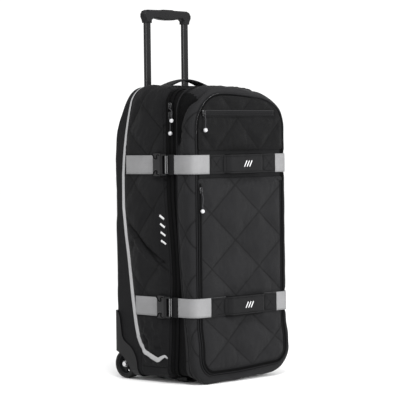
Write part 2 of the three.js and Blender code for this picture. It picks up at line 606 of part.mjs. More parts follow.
// ---------------------------------------------------------------- zips
const TAPE_OUTER = ZIP_RECESS - 2.3;
function zipTape(y0, y1) {
  const outline = (inset) => section(0, { ...zipSection, inset }).map(([x, , z]) => [x, z]);
  const ring = cut(prism('y', outline(TAPE_OUTER), y0, y1), prism('y', outline(ZIP_RECESS - GAP), y0 - 1, y1 + 1));
  return cut(ring, block(150, 300, -200, 200, -50, 900));
}
addPart(bag, 'main_zip_body_tape', zipTape(ZIP_Y, ZIP_Y + 12), 'zipTape');
addPart(lid, 'main_zip_lid_tape', zipTape(ZIP_Y - 12, ZIP_Y - GAP), 'zipTape');

// A slider lies on its zip: length along the zip, eye standing outwards. It is built
// at the origin with the zip along z and outwards along -y.
function sliderShape() {
  const plate = prism('y', roundedRectangle(-6, 6, -8, 8, 3, 3, 2), -4.5, 0);
  const eye = prism('x', [[-4, 5], [-8, 3], [-8, -4], [-4, -6], [-4, -3.5], [-6, -3], [-6, 1.5], [-4, 3]], -1.2, 1.2);
  return join([plate, eye]);
}

// Cord from a slider's eye down to a ball, given from the slider's own centre.
const PULLS = {
  aside: [[0, -7, -7.4], [4, -7.8, -9.2], [10, -8.4, -12.5], [13, -9.3, -18.5], [13.6, -10.6, -26], [13.4, -11.6, -34]],
  low: [[0, -7, -7.4], [1.6, -7.7, -12], [4.4, -8.6, -19], [6, -9.2, -27], [6.2, -9.3, -35], [6, -9.2, -43]],
  short: [[0, -7, -7.4], [0.3, -7.6, -11], [0.9, -8.4, -17], [0.4, -9, -24], [-0.4, -9.2, -31], [-0.6, -9.2, -38.6]],
  long: [[0, -7, -7.4], [0.4, -7.7, -12], [1.4, -8.6, -20], [0.8, -9.2, -29], [-0.8, -9.3, -38], [-1.2, -9.2, -48.6]],
};
const strand = new THREE.Shape(circle(0, 0, PULL_CORD / 2, 8).map(([a, b]) => new THREE.Vector2(a, b)));

function addSlider(parent, name, pull, position, turn = 0, tilt = 0) {
  const group = bodyGroup(parent, position);
  group.rotation.set(0, tilt, turn);
  const points = PULLS[pull].map((p) => new THREE.Vector3(...p));
  addPart(group, `${name}_slider`, sliderShape(), 'steel');
  const path = new THREE.CatmullRomCurve3(points);
  addPart(group, `${name}_pull_cord`, solidOf(new THREE.ExtrudeGeometry(strand, {
    steps: 10, extrudePath: path, bevelEnabled: false,
  })), 'cord');
  const end = points.at(-1);
  const ball = new THREE.SphereGeometry(BALL_RADIUS, 12, 8);
  ball.translate(end.x, end.y, end.z - BALL_RADIUS - GAP);
  addPart(group, `${name}_pull_ball`, solidOf(ball), 'silver');
}

const zipFaceX = -HALF_WIDTH + TAPE_OUTER - GAP;
const CORNER_Z = ZIP_TOP - ZIP_TOP_RADIUS;
const SLIDER_Y = ZIP_Y - 5;
addSlider(bag, 'main_zip_upper', 'aside', [zipFaceX, SLIDER_Y, CORNER_Z], radians(-90));
addSlider(bag, 'main_zip_lower', 'low', [zipFaceX, SLIDER_Y, CORNER_Z - 24], radians(-90));
const pocketFace = tapeFront - GAP;
addSlider(lid, 'upper_pocket', 'short', [POCKET_ZIP.left + 4, pocketFace, POCKET_ZIP.upperZ]);
addSlider(lid, 'lower_pocket', 'long', [POCKET_ZIP.lowerX, pocketFace, 511]);

export default bag;
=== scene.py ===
# Looks of the rolling duffel bag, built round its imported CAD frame.
# Metres, +Z up, +X right, the zipped front faces -Y.

import math

import bmesh
import bpy
import numpy as np
from mathutils import Matrix, Vector
from mathutils.bvhtree import BVHTree


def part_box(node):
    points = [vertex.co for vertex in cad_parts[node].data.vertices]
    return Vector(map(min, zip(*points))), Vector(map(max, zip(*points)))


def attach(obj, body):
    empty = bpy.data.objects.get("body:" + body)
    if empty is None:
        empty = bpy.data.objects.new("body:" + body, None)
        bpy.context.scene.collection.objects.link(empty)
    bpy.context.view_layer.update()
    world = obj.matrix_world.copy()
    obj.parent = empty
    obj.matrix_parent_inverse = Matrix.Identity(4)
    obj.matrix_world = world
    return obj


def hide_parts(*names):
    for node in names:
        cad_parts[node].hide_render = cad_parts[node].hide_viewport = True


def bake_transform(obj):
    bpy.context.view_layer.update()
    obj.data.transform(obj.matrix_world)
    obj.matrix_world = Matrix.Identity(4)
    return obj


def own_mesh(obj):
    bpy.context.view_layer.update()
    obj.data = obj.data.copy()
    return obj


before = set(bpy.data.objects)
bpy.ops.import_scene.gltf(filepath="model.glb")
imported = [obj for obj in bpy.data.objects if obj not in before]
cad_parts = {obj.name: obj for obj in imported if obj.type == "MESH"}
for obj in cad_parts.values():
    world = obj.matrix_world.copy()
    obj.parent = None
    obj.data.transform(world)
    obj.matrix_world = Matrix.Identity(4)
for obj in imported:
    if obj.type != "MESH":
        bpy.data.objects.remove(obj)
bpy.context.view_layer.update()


def add_object(name, data):
    made = bpy.data.objects.new(name, data)
    bpy.context.scene.collection.objects.link(made)
    return made


# ------------------------------------------------------------------ driving sizes, as in the CAD part
HALF_WIDTH = 0.183
BODY_BOTTOM, BODY_TOP, BODY_BACK = 0.013, 0.785, 0.150
BODY_LOW_R, BODY_HIGH_R = 0.025, 0.040
SHOULDER_Y, SHOULDER_Z, SHOULDER_POWER = 0.078, 0.600, 1.65
BACK_EDGE_R = 0.018
ZIP_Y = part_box("main_zip_body_tape")[0].y
ZIP_BOTTOM, ZIP_TOP, ZIP_LOW_R, ZIP_HIGH_R = 0.014, 0.781, 0.030, 0.048
ZIP_RECESS = 0.007
LID_BOTTOM, LID_TOP, LID_LOW_R, LID_HIGH_R = 0.009, 0.778, 0.064, 0.110
LID_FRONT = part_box("lid_front")[0].y
LID_EDGE_R = 0.0135
FRONT = LID_FRONT - 0.004
STRAP_Z = {"upper": 0.578, "lower": 0.203}
STRAP_HALF = 0.025
WEB = 0.0025
WEB_X = HALF_WIDTH + 0.0003 + WEB / 2
WHEEL_X, WHEEL_Y, WHEEL_R, WELL_R = 0.152, 0.131, 0.0385, 0.044
TUBE_X, TUBE_Y = 0.0725, 0.126
RIM = 0.041  # how far forward the body's fabric reaches, at the zip
STRAP_TURN = LID_EDGE_R + 0.0128  # the radius of the webbing's middle round the lid's front corners
SIDES = (("left", -1), ("right", 1))
LEVELS = ("upper", "lower")

# The side seam seen along x, as y and z, from the top shoulder down to the zigzag.
TRIM_ROUTE = np.array([
    (58, 790), (74, 751), (87, 710), (97, 672), (106, 619), (110, 572), (110, 483), (102, 403),
    (91, 325), (79, 226), (67, 151), (59, 119), (49, 98), (22, 79), (-22, 61), (-36, 70),
]) / 1000
SEAM = TRIM_ROUTE[:13]
ZIGZAG = np.array([(-42, 73), (-50, 67)]) / 1000

# ------------------------------------------------------------------ camera
CAMERA = {"azimuth": -46.0, "pitch": 1.821, "roll": -0.649, "distance": 5.41741,
          "right": -0.002075, "height": 0.478927, "lens": 179.626}


def make_camera():
    azimuth, pitch, roll = (math.radians(CAMERA[k]) for k in ("azimuth", "pitch", "roll"))
    look = Vector((-math.sin(azimuth) * math.cos(pitch), math.cos(azimuth) * math.cos(pitch), -math.sin(pitch)))
    right = Vector((math.cos(azimuth), math.sin(azimuth), 0))
    up = right.cross(look)
    side = right * math.cos(roll) + up * math.sin(roll)
    top = up * math.cos(roll) - right * math.sin(roll)
    data = bpy.data.cameras.new("camera")
    data.lens = CAMERA["lens"]
    data.sensor_width = 36
    camera = add_object("camera", data)
    camera.matrix_world = Matrix((side, top, -look)).transposed().to_4x4()
    camera.location = Vector((0, 0, CAMERA["height"])) + side * CAMERA["right"] - look * CAMERA["distance"]
    bpy.context.scene.view_settings.view_transform = "Standard"
    bpy.context.scene.camera = camera


make_camera()


# ------------------------------------------------------------------ materials
class Shade:
    """A node tree with short calls for the nodes used here. Numbers are set on sockets."""

    def __init__(self, name, **constants):
        self.material = bpy.data.materials.new(name)
        self.material.use_nodes = True
        self.tree = self.material.node_tree
        self.shader = self.tree.nodes["Principled BSDF"]
        for socket, value in constants.items():
            self.shader.inputs[socket.replace("_", " ")].default_value = value

    def node(self, kind, inputs=(), output=0, **settings):
        node = self.tree.nodes.new(kind)
        for key, value in settings.items():
            setattr(node, key, value)
        for key, value in dict(inputs).items():
            if isinstance(value, bpy.types.NodeSocket):
                self.tree.links.new(value, node.inputs[key])
            else:
                node.inputs[key].default_value = value
        return node.outputs[output]

    def math(self, operation, *values):
        return self.node("ShaderNodeMath", enumerate(values), operation=operation)

    def metres(self):
        """The two UV coordinates, which are in metres on every piece."""
        uv = self.node("ShaderNodeTexCoord", output="UV")
        split = self.node("ShaderNodeSeparateXYZ", {0: uv}).node
        return split.outputs[0], split.outputs[1]

    def noise(self, scale, detail=3.0, stretch=None, rough=0.5):
        vector = self.node("ShaderNodeTexCoord", output="Object")
        if stretch:
            vector = self.node("ShaderNodeVectorMath", {0: vector, 1: stretch}, operation="MULTIPLY")
        settings = {"Vector": vector, "Scale": scale, "Detail": detail, "Roughness": rough}
        return self.node("ShaderNodeTexNoise", settings)

    def span(self, value, low, high, to_low, to_high):
        return self.node("ShaderNodeMapRange", {
            "Value": value, "From Min": low, "From Max": high, "To Min": to_low, "To Max": to_high})

    def wave(self, value, period):
        return self.math("SINE", self.math("MULTIPLY", value, 2 * math.pi / period))

    def colour(self, base, *factors):
        """base, made lighter or darker by each factor in turn."""
        factor = factors[0]
        for more in factors[1:]:
            factor = self.math("MULTIPLY", factor, more)
        tint = self.node("ShaderNodeRGB")
        tint.default_value = (*base, 1)
        scaled = self.node("ShaderNodeVectorMath", {0: tint, "Scale": factor}, operation="SCALE")
        self.tree.links.new(scaled, self.shader.inputs["Base Color"])

    def rough(self, value):
        self.tree.links.new(value, self.shader.inputs["Roughness"])

    def bump(self, height, distance, strength=1.0, under=None):
        inputs = {"Height": height, "Distance": distance, "Strength": strength}
        normal = self.node("ShaderNodeBump", {**inputs, "Normal": under} if under else inputs)
        self.tree.links.new(normal, self.shader.inputs["Normal"])
        return normal


def seam_lines(shade, u, v, quilt):
    """1 on the diamond seams of a quilt, 0 away from them, and the same only on the stitches."""
    wide, tall, u0, v0 = quilt
    a = shade.math("DIVIDE", shade.math("SUBTRACT", u, u0), wide)
    b = shade.math("DIVIDE", shade.math("SUBTRACT", v, v0), tall)
    gap = 1 / math.hypot(1 / wide, 1 / tall)
    lines, stitches = [], []
    for along, across in (("ADD", "SUBTRACT"), ("SUBTRACT", "ADD")):
        phase = shade.math(along, a, b)
        off = shade.math("ABSOLUTE", shade.math("SUBTRACT", phase, shade.math("ROUND", phase)))
        line = shade.span(off, 0.0006 / gap, 0.0028 / gap, 1, 0)
        dash = shade.span(shade.wave(shade.math(across, a, b), 0.0042 / gap), -0.6, 0.0, 0, 1)
        lines.append(line)
        stitches.append(shade.math("MULTIPLY", line, dash))
    return shade.math("MAXIMUM", *lines), shade.math("MAXIMUM", *stitches)


def cloth_material(name, base, thread=0.0011, ripstop=0.0, rough=0.8, sheen=0.06, relief=0.00022, quilt=None):
    """Woven cloth; thread and ripstop are the periods of its weave and its grid in metres."""
    shade = Shade(name, IOR=1.2, Specular_IOR_Level=0.35, Sheen_Weight=sheen * 0.4, Sheen_Roughness=0.45)
    u, v = shade.metres()
    weave = shade.math("MULTIPLY", shade.wave(u, thread), shade.wave(v, thread))
    height = shade.span(weave, -1, 1, 0, 1)
    if ripstop:
        cells = [shade.span(shade.math("PINGPONG", value, ripstop / 2), 0, ripstop * 0.09, 1, 0)
                 for value in (u, v)]
        height = shade.math("ADD", height, shade.math("MULTIPLY", shade.math("MAXIMUM", *cells), 0.9))
    fibre = shade.noise(900, 2)
    cloud = shade.noise(7, 4)
    rub = shade.noise(38, 5, rough=0.7)
    factors = [
        shade.span(height, 0, 1.6, 0.82, 1.15),
        shade.span(fibre, 0.3, 0.7, 0.9, 1.1),
        shade.span(cloud, 0.3, 0.7, 0.88, 1.12),
        shade.span(rub, 0.35, 0.75, 0.95, 1.1),
    ]
    if quilt:
        line, stitch = seam_lines(shade, u, v, quilt)
        factors.append(shade.span(line, 0, 1, 1, 0.3))
        factors.append(shade.span(stitch, 0, 1, 1, 1.5))
        height = shade.math("SUBTRACT", height, shade.math("MULTIPLY", line, 2.4))
        height = shade.math("ADD", height, shade.math("MULTIPLY", stitch, 1.4))
    shade.colour(base, *factors)
    shade.rough(shade.span(shade.math("ADD", fibre, rub), 0.6, 1.4, rough - 0.1, min(rough + 0.1, 1)))
    under = shade.bump(shade.noise(60, 4), 0.0006, 0.35)
    shade.bump(height, relief, 1.0, under)
    return shade.material


def webbing_material(name, base, rib=0.0016, rough=0.75, sheen=0.1):
    """Ribbed webbing: u runs along it, v across."""
    shade = Shade(name, IOR=1.25, Specular_IOR_Level=0.4, Sheen_Weight=sheen * 0.4, Sheen_Roughness=0.4)
    u, v = shade.metres()
    slant = shade.math("PINGPONG", v, 0.004)
    ribs = shade.wave(shade.math("ADD", u, shade.math("MULTIPLY", slant, 0.5)), rib)
    yarns = shade.wave(v, 0.0012)
    height = shade.span(shade.math("ADD", ribs, shade.math("MULTIPLY", yarns, 0.6)), -1.6, 1.6, 0, 1)
    fibre = shade.noise(700, 2)
    shade.colour(
        base, shade.span(height, 0, 1, 0.8, 1.12), shade.span(fibre, 0.3, 0.7, 0.93, 1.07),
        shade.span(shade.noise(16, 4), 0.3, 0.7, 0.9, 1.08),
    )
    shade.rough(shade.span(fibre, 0.3, 0.7, rough - 0.08, rough + 0.08))
    shade.bump(height, 0.00035)
    return shade.material


def moulded_material(name, base, rough=0.42, grain=1400, relief=0.00006, metallic=0.0, stretch=None, shine=0.3):
    """Moulded plastic, rubber or metal with a fine grain and faint smears."""
    shade = Shade(name, Metallic=metallic, IOR=1.35, Specular_IOR_Level=shine)
    fine = shade.noise(grain, 3, stretch)
    smear = shade.noise(24, 5, stretch, 0.65)
    shade.colour(base, shade.span(fine, 0.3, 0.7, 0.92, 1.08), shade.span(smear, 0.3, 0.75, 0.9, 1.14))
    mixed = shade.math("ADD", smear, shade.math("MULTIPLY", fine, 0.5))
    shade.rough(shade.span(mixed, 0.5, 1.1, rough - 0.1, rough + 0.12))
    shade.bump(fine, relief, 0.8)
    return shade.material


BLACK = (0.0105, 0.0105, 0.0112)
QUILT = {  # width and height of a diamond, and one crossing, in the panel's own metres
    "front": (0.184, 0.146, -0.025, 0.3755),
    "upper": (0.1725, 0.175, -0.0125, 0.6983),
    "side": (0.120, 0.1415, 0.0585, 0.3878),
    "gusset": (0.110, 0.1415, -0.119, 0.3965),
    "top": (0.184, 0.120, 0.0, 0.0),
}
MATERIALS = {
    "tough": cloth_material("tough_cloth", (0.0062, 0.0062, 0.0068), 0.0014, rough=0.62, sheen=0.03, relief=0.0003),
    "plain": cloth_material("plain_cloth", (0.0062, 0.0062, 0.0067), 0.0010, ripstop=0.005, rough=0.75),
    "lining": cloth_material("lining_cloth", (0.055, 0.055, 0.06), 0.0009, rough=0.85),
    # Near-black tape cloth, darker than the bag's own black cloth: partly the black of the zip tapes, partly painted
    # shade for the zip's deep recess. It is also laid as painted shade on faces in recesses and slots, and serves for
    # stitching and piping.
    "zip_tape": cloth_material("tape_and_shade_black_cloth", (0.0022, 0.0022, 0.0024), 0.0012, rough=0.9, sheen=0.0),
    "grey_web": webbing_material("grey_webbing", (0.187, 0.187, 0.190), sheen=0.05),
    "black_web": webbing_material("black_webbing", (0.0048, 0.0048, 0.0053), sheen=0.02),
    "trim": cloth_material("reflective_trim", (0.31, 0.31, 0.315), 0.0006, rough=0.5, sheen=0.05, relief=0.00008),
    "seam": moulded_material("seam_edge", (0.022, 0.022, 0.023), 0.5, 2000),
    "buckle": moulded_material("buckle_nylon", (0.0125, 0.0125, 0.013), 0.4),
    # Painted highlight: the pale lines along the edges of the buckle's spring arms.
    "edge": moulded_material("buckle_edge_highlight", (0.060, 0.060, 0.061), 0.4, 2000),
    # Painted highlight: the pale tone of the line on the front piping's left arch, where the light catches it.
    "piping_highlight": moulded_material("piping_highlight", (0.17, 0.17, 0.172), 0.5, 2000),
    "plastic": moulded_material("moulded_nylon", (0.005, 0.005, 0.0054), 0.36),
    "grip": moulded_material("soft_grip", (0.0050, 0.0050, 0.0054), 0.5, 900, 0.0001, shine=0.22),
    "board": moulded_material("backing_board", (0.04, 0.04, 0.042), 0.55),
    "aluminium": moulded_material("dark_aluminium", (0.0070, 0.0070, 0.0074), 0.3, 300, 0.00002,
                                  stretch=(12, 12, 0.3), shine=0.26),
    "steel": moulded_material("plated_steel", (0.50, 0.50, 0.51), 0.3, 900, 0.00002, 1.0),
    "rubber": moulded_material("wheel_rubber", (0.010, 0.010, 0.010), 0.6, 700, 0.0001),
    "hub": moulded_material("wheel_hub", (0.012, 0.0125, 0.0135), 0.4),
    "slider": moulded_material("slider_metal", (0.03, 0.03, 0.031), 0.25, 900, 0.00002, 0.6),
    "cord": webbing_material("braided_cord", (0.028, 0.028, 0.03), 0.0016, 0.7),
    "ball": moulded_material("silver_ball", (0.40, 0.40, 0.41), 0.3, 500, 0.00001, 0.15),
    "mark": moulded_material("pale_print", (0.50, 0.50, 0.505), 0.5),
}
# Painted shade: how dark the base tone of each quilted panel is made against BLACK, for how little light falls on it,
# so that one cloth comes in lit and shaded copies: darkest on the upper pocket and the top, less on the side, hardly on
# the front.
PAINTED_SHADE = {"upper": 0.34, "top": 0.45, "side": 0.70, "front": 0.94}
for zone, quilt in QUILT.items():
    base = tuple(value * PAINTED_SHADE.get(zone, 1) for value in BLACK)
    MATERIALS[f"quilt_{zone}"] = cloth_material(f"quilted_cloth_{zone}", base, 0.0010, ripstop=0.0045, quilt=quilt)


# ------------------------------------------------------------------ mesh helpers
def unit(vectors):
    """Each vector along the last axis, made one long."""
    vectors = np.asarray(vectors, float)
    return vectors / np.maximum(np.linalg.norm(vectors, axis=-1, keepdims=True), 1e-12)


def xyz(x, y, z):
    """Points from their three coordinates, any of which may be one number."""
    return np.stack(np.broadcast_arrays(x, y, z), -1).astype(float)


def lengths(path):
    """The length along a path to each of its points."""
    return np.concatenate([[0], np.cumsum(np.linalg.norm(np.diff(path, axis=0), axis=1))])


def points_at(path, where):
    """The points at some lengths along a path."""
    length = lengths(path)
    return np.stack([np.interp(where, length, column) for column in np.asarray(path, float).T], 1)


def evenly(path, step):
    """The same path with points a step apart."""
    whole = lengths(path)[-1]
    return points_at(path, np.linspace(0, whole, max(int(round(whole / step)), 2) + 1))


def walk(path, step):
    """Points every step along a path, with the direction there."""
    spots = np.arange(step / 2, lengths(path)[-1], step)
    at, ahead, behind = (points_at(path, spots + shift) for shift in (0, step * 0.2, -step * 0.2))
    return at, ahead - behind


def headings(path, closed=False):
    """The direction along a path at each of its points."""
    return unit(np.roll(path, -1, 0) - np.roll(path, 1, 0) if closed else np.gradient(path, axis=0))


def make_object(name, points, faces, material, uv=None, smooth=True):
    """A mesh object; uv is in metres, one pair for each point."""
    points = np.asarray(points, float).reshape(-1, 3)
    mesh = bpy.data.meshes.new(name)
    mesh.from_pydata(points.tolist(), [], faces)
    layer = mesh.uv_layers.new(name="metres")
    corners = np.zeros(len(mesh.loops), int)
    mesh.loops.foreach_get("vertex_index", corners)
    uv = points[:, [0, 2]] if uv is None else np.asarray(uv, float).reshape(-1, 2)
    layer.data.foreach_set("uv", uv[corners].ravel())
    mesh.materials.append(MATERIALS[material])
    mesh.polygons.foreach_set("use_smooth", [smooth] * len(mesh.polygons))
    return add_object(name, mesh)


def grid_faces(nu, nv, wrap=False, start=0, flip=False):
    """Quads of an nu by nv grid of points; wrap closes it along u."""
    i, j = np.meshgrid(np.arange(nu if wrap else nu - 1), np.arange(nv - 1), indexing="ij")
    a, b = i * nv + j, ((i + 1) % nu) * nv + j
    quads = np.stack([a, b, b + 1, a + 1], -1).reshape(-1, 4) + start
    return (quads[:, ::-1] if flip else quads).tolist()


def ring_faces(rings, sides, closed=False):
    """Quads between rings of points; a row of rings that isn't closed gets a face on each end."""
    i, j = np.meshgrid(np.arange(rings if closed else rings - 1), np.arange(sides), indexing="ij")
    a, b, k = i * sides, (i + 1) % rings * sides, (j + 1) % sides
    faces = np.stack([a + j, a + k, b + k, b + j], -1).reshape(-1, 4).tolist()
    if not closed:
        faces += [list(range(sides))[::-1], [(rings - 1) * sides + n for n in range(sides)]]
    return faces


def grid_normals(grid, wrap=False):
    du = np.roll(grid, -1, 0) - np.roll(grid, 1, 0) if wrap else np.gradient(grid, axis=0)
    return unit(np.cross(du, np.gradient(grid, axis=1)))


def shell(name, outer, thickness, uv, material, wrap=False, capped=False):
    """A closed sheet of that thickness under a grid of points whose normals face out.
    capped closes the last ring of a wrapped grid with one face."""
    inner = outer - grid_normals(outer, wrap) * thickness
    nu, nv = outer.shape[:2]
    count = nu * nv
    faces = grid_faces(nu, nv, wrap) + grid_faces(nu, nv, wrap, count, True)
    at = lambda i, j: i * nv + j
    loop = [at(i, 0) for i in range(nu)]
    if not wrap:
        loop += [at(nu - 1, j) for j in range(1, nv)] + [at(i, nv - 1) for i in range(nu - 2, -1, -1)]
        loop += [at(0, j) for j in range(nv - 2, 0, -1)]
    rims = [loop]
    if wrap and capped:
        last = [at(i, nv - 1) for i in range(nu)]
        faces += [last[::-1], [count + k for k in last]]
    elif wrap:
        rims.append([at(i, nv - 1) for i in range(nu)][::-1])
    for rim in rims:
        for a, b in zip(rim, rim[1:] + rim[:1]):
            faces.append([b, a, count + a, count + b])
    points = np.concatenate([outer.reshape(-1, 3), inner.reshape(-1, 3)])
    both = np.concatenate([uv.reshape(-1, 2)] * 2)
    made = make_object(name, points, faces, material, both)
    outward(made)
    return made


def smoothstep(value, low=0.0, high=1.0):
    t = np.clip((value - low) / (high - low), 0, 1)
    return t * t * (3 - 2 * t)


def soft_noise(u, v, scale, seed):
    """Smooth noise from -1 to 1 over two coordinates; scale is the size of its lumps."""
    lattice = np.random.default_rng(seed).uniform(-1, 1, (64, 64))
    x, y = np.asarray(u) / scale, np.asarray(v) / scale
    i, j = np.floor(x).astype(int), np.floor(y).astype(int)
    fx, fy = smoothstep(x - i), smoothstep(y - j)
    pick = lambda a, b: lattice[a % 64, b % 64]
    low = pick(i, j) * (1 - fx) + pick(i + 1, j) * fx
    high = pick(i, j + 1) * (1 - fx) + pick(i + 1, j + 1) * fx
    return low * (1 - fy) + high * fy


def tube(name, path, radius, material, sides=8, closed=False, up=(0, 0, 1)):
    """A round bar along a path of points."""
    path = np.asarray(path, float)
    along = headings(path, closed)
    side = np.cross(along, up)
    weak = np.linalg.norm(side, axis=1) < 1e-3
    side[weak] = np.cross(along[weak], (0.3, 0.9, 0.1))
    side = unit(side)
    turn = np.arange(sides) * 2 * math.pi / sides
    across, over = np.cos(turn)[None, :, None], np.sin(turn)[None, :, None]
    rings = path[:, None] + radius * (across * side[:, None] + over * np.cross(side, along)[:, None])
    uv = np.stack(np.broadcast_arrays(lengths(path)[:, None], (turn * radius)[None]), -1)
    return make_object(name, rings, ring_faces(len(path), sides, closed), material, uv)


def finish_piece(obj, body, nodes=()):
    """Gives a piece its body and hides the CAD nodes that it stands for."""
    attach(obj, body)
    if nodes:
        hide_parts(*nodes)
    return obj


def small_boxes(name, centres, directions, normals, size, material):
    """Many small bars, such as stitches or zip teeth, narrower on top: size is length, width, height."""
    centres, d, n = (np.asarray(x, float).reshape(-1, 3) for x in (centres, directions, normals))
    d = unit(d)
    n = unit(n - d * np.sum(n * d, axis=1, keepdims=True))
    s = np.cross(n, d)
    half = np.asarray(size) / 2
    corners = []
    for c, long, wide in ((-1, 1, 1), (1, 0.8, 0.62)):
        for a, b in ((-1, -1), (1, -1), (1, 1), (-1, 1)):
            corners.append(centres + d * a * half[0] * long + s * b * half[1] * wide + n * c * half[2])
    block = np.array([(3, 2, 1, 0), (4, 5, 6, 7), (0, 1, 5, 4), (1, 2, 6, 5), (2, 3, 7, 6), (3, 0, 4, 7)])
    faces = (block[None] + 8 * np.arange(len(centres))[:, None, None]).reshape(-1, 4).tolist()
    return make_object(name, np.stack(corners, 1), faces, material, smooth=False)


# ------------------------------------------------------------------ outline of body and lid
SEGMENT_COUNTS = (38, 14, 165, 30, 58, 30, 165, 14, 38)
SEGMENT = np.concatenate([np.full(n, k) for k, n in enumerate(SEGMENT_COUNTS)])
SHARE = np.concatenate([np.arange(n) / n for n in SEGMENT_COUNTS])


def outline(half, bottom, top, low_r, high_r, segment=SEGMENT, share=SHARE):
    """x and z round a rounded rectangle, from the middle of the bottom, right side first.
    Sizes may be arrays that broadcast against the points."""
    segment, share, half, bottom, top, low_r, high_r = np.broadcast_arrays(
        segment, share, half, bottom, top, low_r, high_r)
    turn = {1: -0.5, 3: 0.0, 5: 0.5, 7: 1.0}
    x, z = np.zeros(half.shape), np.zeros(half.shape)
    for k in range(9):
        on = segment == k
        f, h, b, t, rl, rh = share[on], half[on], bottom[on], top[on], low_r[on], high_r[on]
        if k in turn:
            angle = math.pi * (turn[k] + f / 2)
            r = rl if k in (1, 7) else rh
            x[on] = np.sign(4 - k) * (h - r) + r * np.cos(angle)
            z[on] = np.where(k in (1, 7), b + r, t - r) + r * np.sin(angle)
        elif k in (0, 8):
            x[on] = f * (h - rl) if k == 0 else (f - 1) * (h - rl)
            z[on] = b
        elif k in (2, 6):
            x[on] = h if k == 2 else -h
            z[on] = (b + rl) + (t - rh - b - rl) * (f if k == 2 else 1 - f)
        else:
            x[on] = (h - rh) * (1 - 2 * f)
            z[on] = t
    return x, z


def corner_inset(radius, past):
    """How far a rounded corner has turned in, at a distance past its start."""
    return radius - np.sqrt(np.maximum(radius ** 2 - past ** 2, 0))


def body_sizes(y):
    """Half width, bottom, top and radii of the body at y, arrays allowed."""
    y = np.asarray(y, float)
    along = np.clip((y - SHOULDER_Y) / (BODY_BACK - SHOULDER_Y), 0, 1)
    drop = (1 - along ** SHOULDER_POWER) ** (1 / SHOULDER_POWER)
    inset = corner_inset(BACK_EDGE_R, np.clip(y - (BODY_BACK - BACK_EDGE_R), 0, BACK_EDGE_R))
    lip = smoothstep(y, ZIP_Y + 0.014, ZIP_Y + 0.021)
    recess = ZIP_RECESS * (1 - lip)
    inset = inset + recess
    at_zip = (ZIP_BOTTOM, ZIP_TOP, ZIP_LOW_R, ZIP_HIGH_R)
    behind = (BODY_BOTTOM, SHOULDER_Z + (BODY_TOP - SHOULDER_Z) * drop, BODY_LOW_R, BODY_HIGH_R)
    bottom, top, low_r, high_r = (a + (b - a) * lip for a, b in zip(at_zip, behind))
    return HALF_WIDTH - inset, bottom + inset, top - recess, low_r - inset, high_r - inset


def side_x(y, z):
    """How far out the body's side is at y and z."""
    half, _, top, _, high_r = body_sizes(y)
    over = np.clip(z - (top - high_r), 0, high_r * 0.999)
    return half - high_r + np.sqrt(high_r ** 2 - over ** 2)


def lid_lean(z):
    """How far forward the lid's zipped edge lies, most low down where the load pushes it."""
    return 0.010 + 0.031 * (1 - smoothstep(z, 0.05, 0.45))


def body_lean(z):
    """How far the load has pushed the body's zipped edge forward at a height."""
    return np.interp(z, [0.0, 0.05, 0.10, 0.20, 0.27, 0.33, 0.39, 0.44, 0.49, 0.56],
                     [0.006, 0.009, 0.014, 0.019, 0.022, 0.019, 0.013, 0.006, 0.001, 0])


def lean_body(grid):
    """Moves the body's fabric beside the zip forward with it."""
    grid[..., 1] -= body_lean(grid[..., 2]) * smoothstep(-grid[..., 1], -0.03, RIM)
    return slump(grid)


def slump(grid):
    """Lets the lid's upper right corner sag and its foot lean out, as soft luggage does when it stands."""
    ahead = np.interp(-grid[..., 1], [-0.03, RIM, 0.0625, 0.10], [0, 0.25, 0.35, 1.0])
    across = ahead * smoothstep(grid[..., 0], -0.06, 0.17)
    raised = across * smoothstep(0.12 - grid[..., 2], 0, 0.10)
    grid[..., 2] += 0.010 * raised - 0.021 * across * smoothstep(grid[..., 2], 0.705, 0.79)
    foot = smoothstep(0.165 - grid[..., 2], 0, 0.075) * smoothstep(-grid[..., 1], 0.10, 0.14)
    grid[..., 1] -= 0.008 * foot
    return grid


def lean_lid(grid):
    """Moves the lid's fabric forward, less and less towards its front."""
    share = np.interp(-grid[..., 1], [0.0623, 0.076, 0.082, 0.129, 0.147], [0.35, 0.6, 1.0, 0.2, 0])
    grid[..., 1] -= lid_lean(grid[..., 2]) * share
    return slump(grid)


def strap_pinch(z, reach=0.018):
    """0 under the straps, 1 a reach past their edges."""
    pinch = 1.0
    for height in STRAP_Z.values():
        pinch = pinch * smoothstep(np.abs(z - height), STRAP_HALF - 0.002, STRAP_HALF + reach)
    return pinch


def side_quilt(y, z):
    """The side's own cloth coordinates: its diamonds lean with the seam."""
    return y - 0.117 * (z - 0.46), z


def front_quilt(x, z):
    """The front's own cloth coordinates: under the lower strap its diamonds have shifted."""
    low = 1 - smoothstep(z, 0.185, 0.222)
    return x + 0.039 * low, z - 0.027 * low


def quilt_distance(u, v, quilt):
    """Metres to the nearest diamond seam."""
    wide, tall, u0, v0 = quilt
    a, b = (u - u0) / wide, (v - v0) / tall
    gap = 1 / math.hypot(1 / wide, 1 / tall)
    return gap * np.minimum(np.abs(a + b - np.round(a + b)), np.abs(a - b - np.round(a - b)))


def line_distance(u, v, line):
    """Metres to the nearest point of a line of points."""
    nearest = np.full(np.broadcast(u, v).shape, 9.0)
    for (a, b), (c, d) in zip(line, line[1:]):
        length = (c - a) ** 2 + (d - b) ** 2
        share = np.clip(((u - a) * (c - a) + (v - b) * (d - b)) / length, 0, 1)
        nearest = np.minimum(nearest, np.hypot(u - a - share * (c - a), v - b - share * (d - b)))
    return nearest


def puff(distance, height=0.0035, reach=0.013):
    """Height of padding at a distance from its seam."""
    return height * (1 - np.exp(-(distance / reach) ** 1.3))


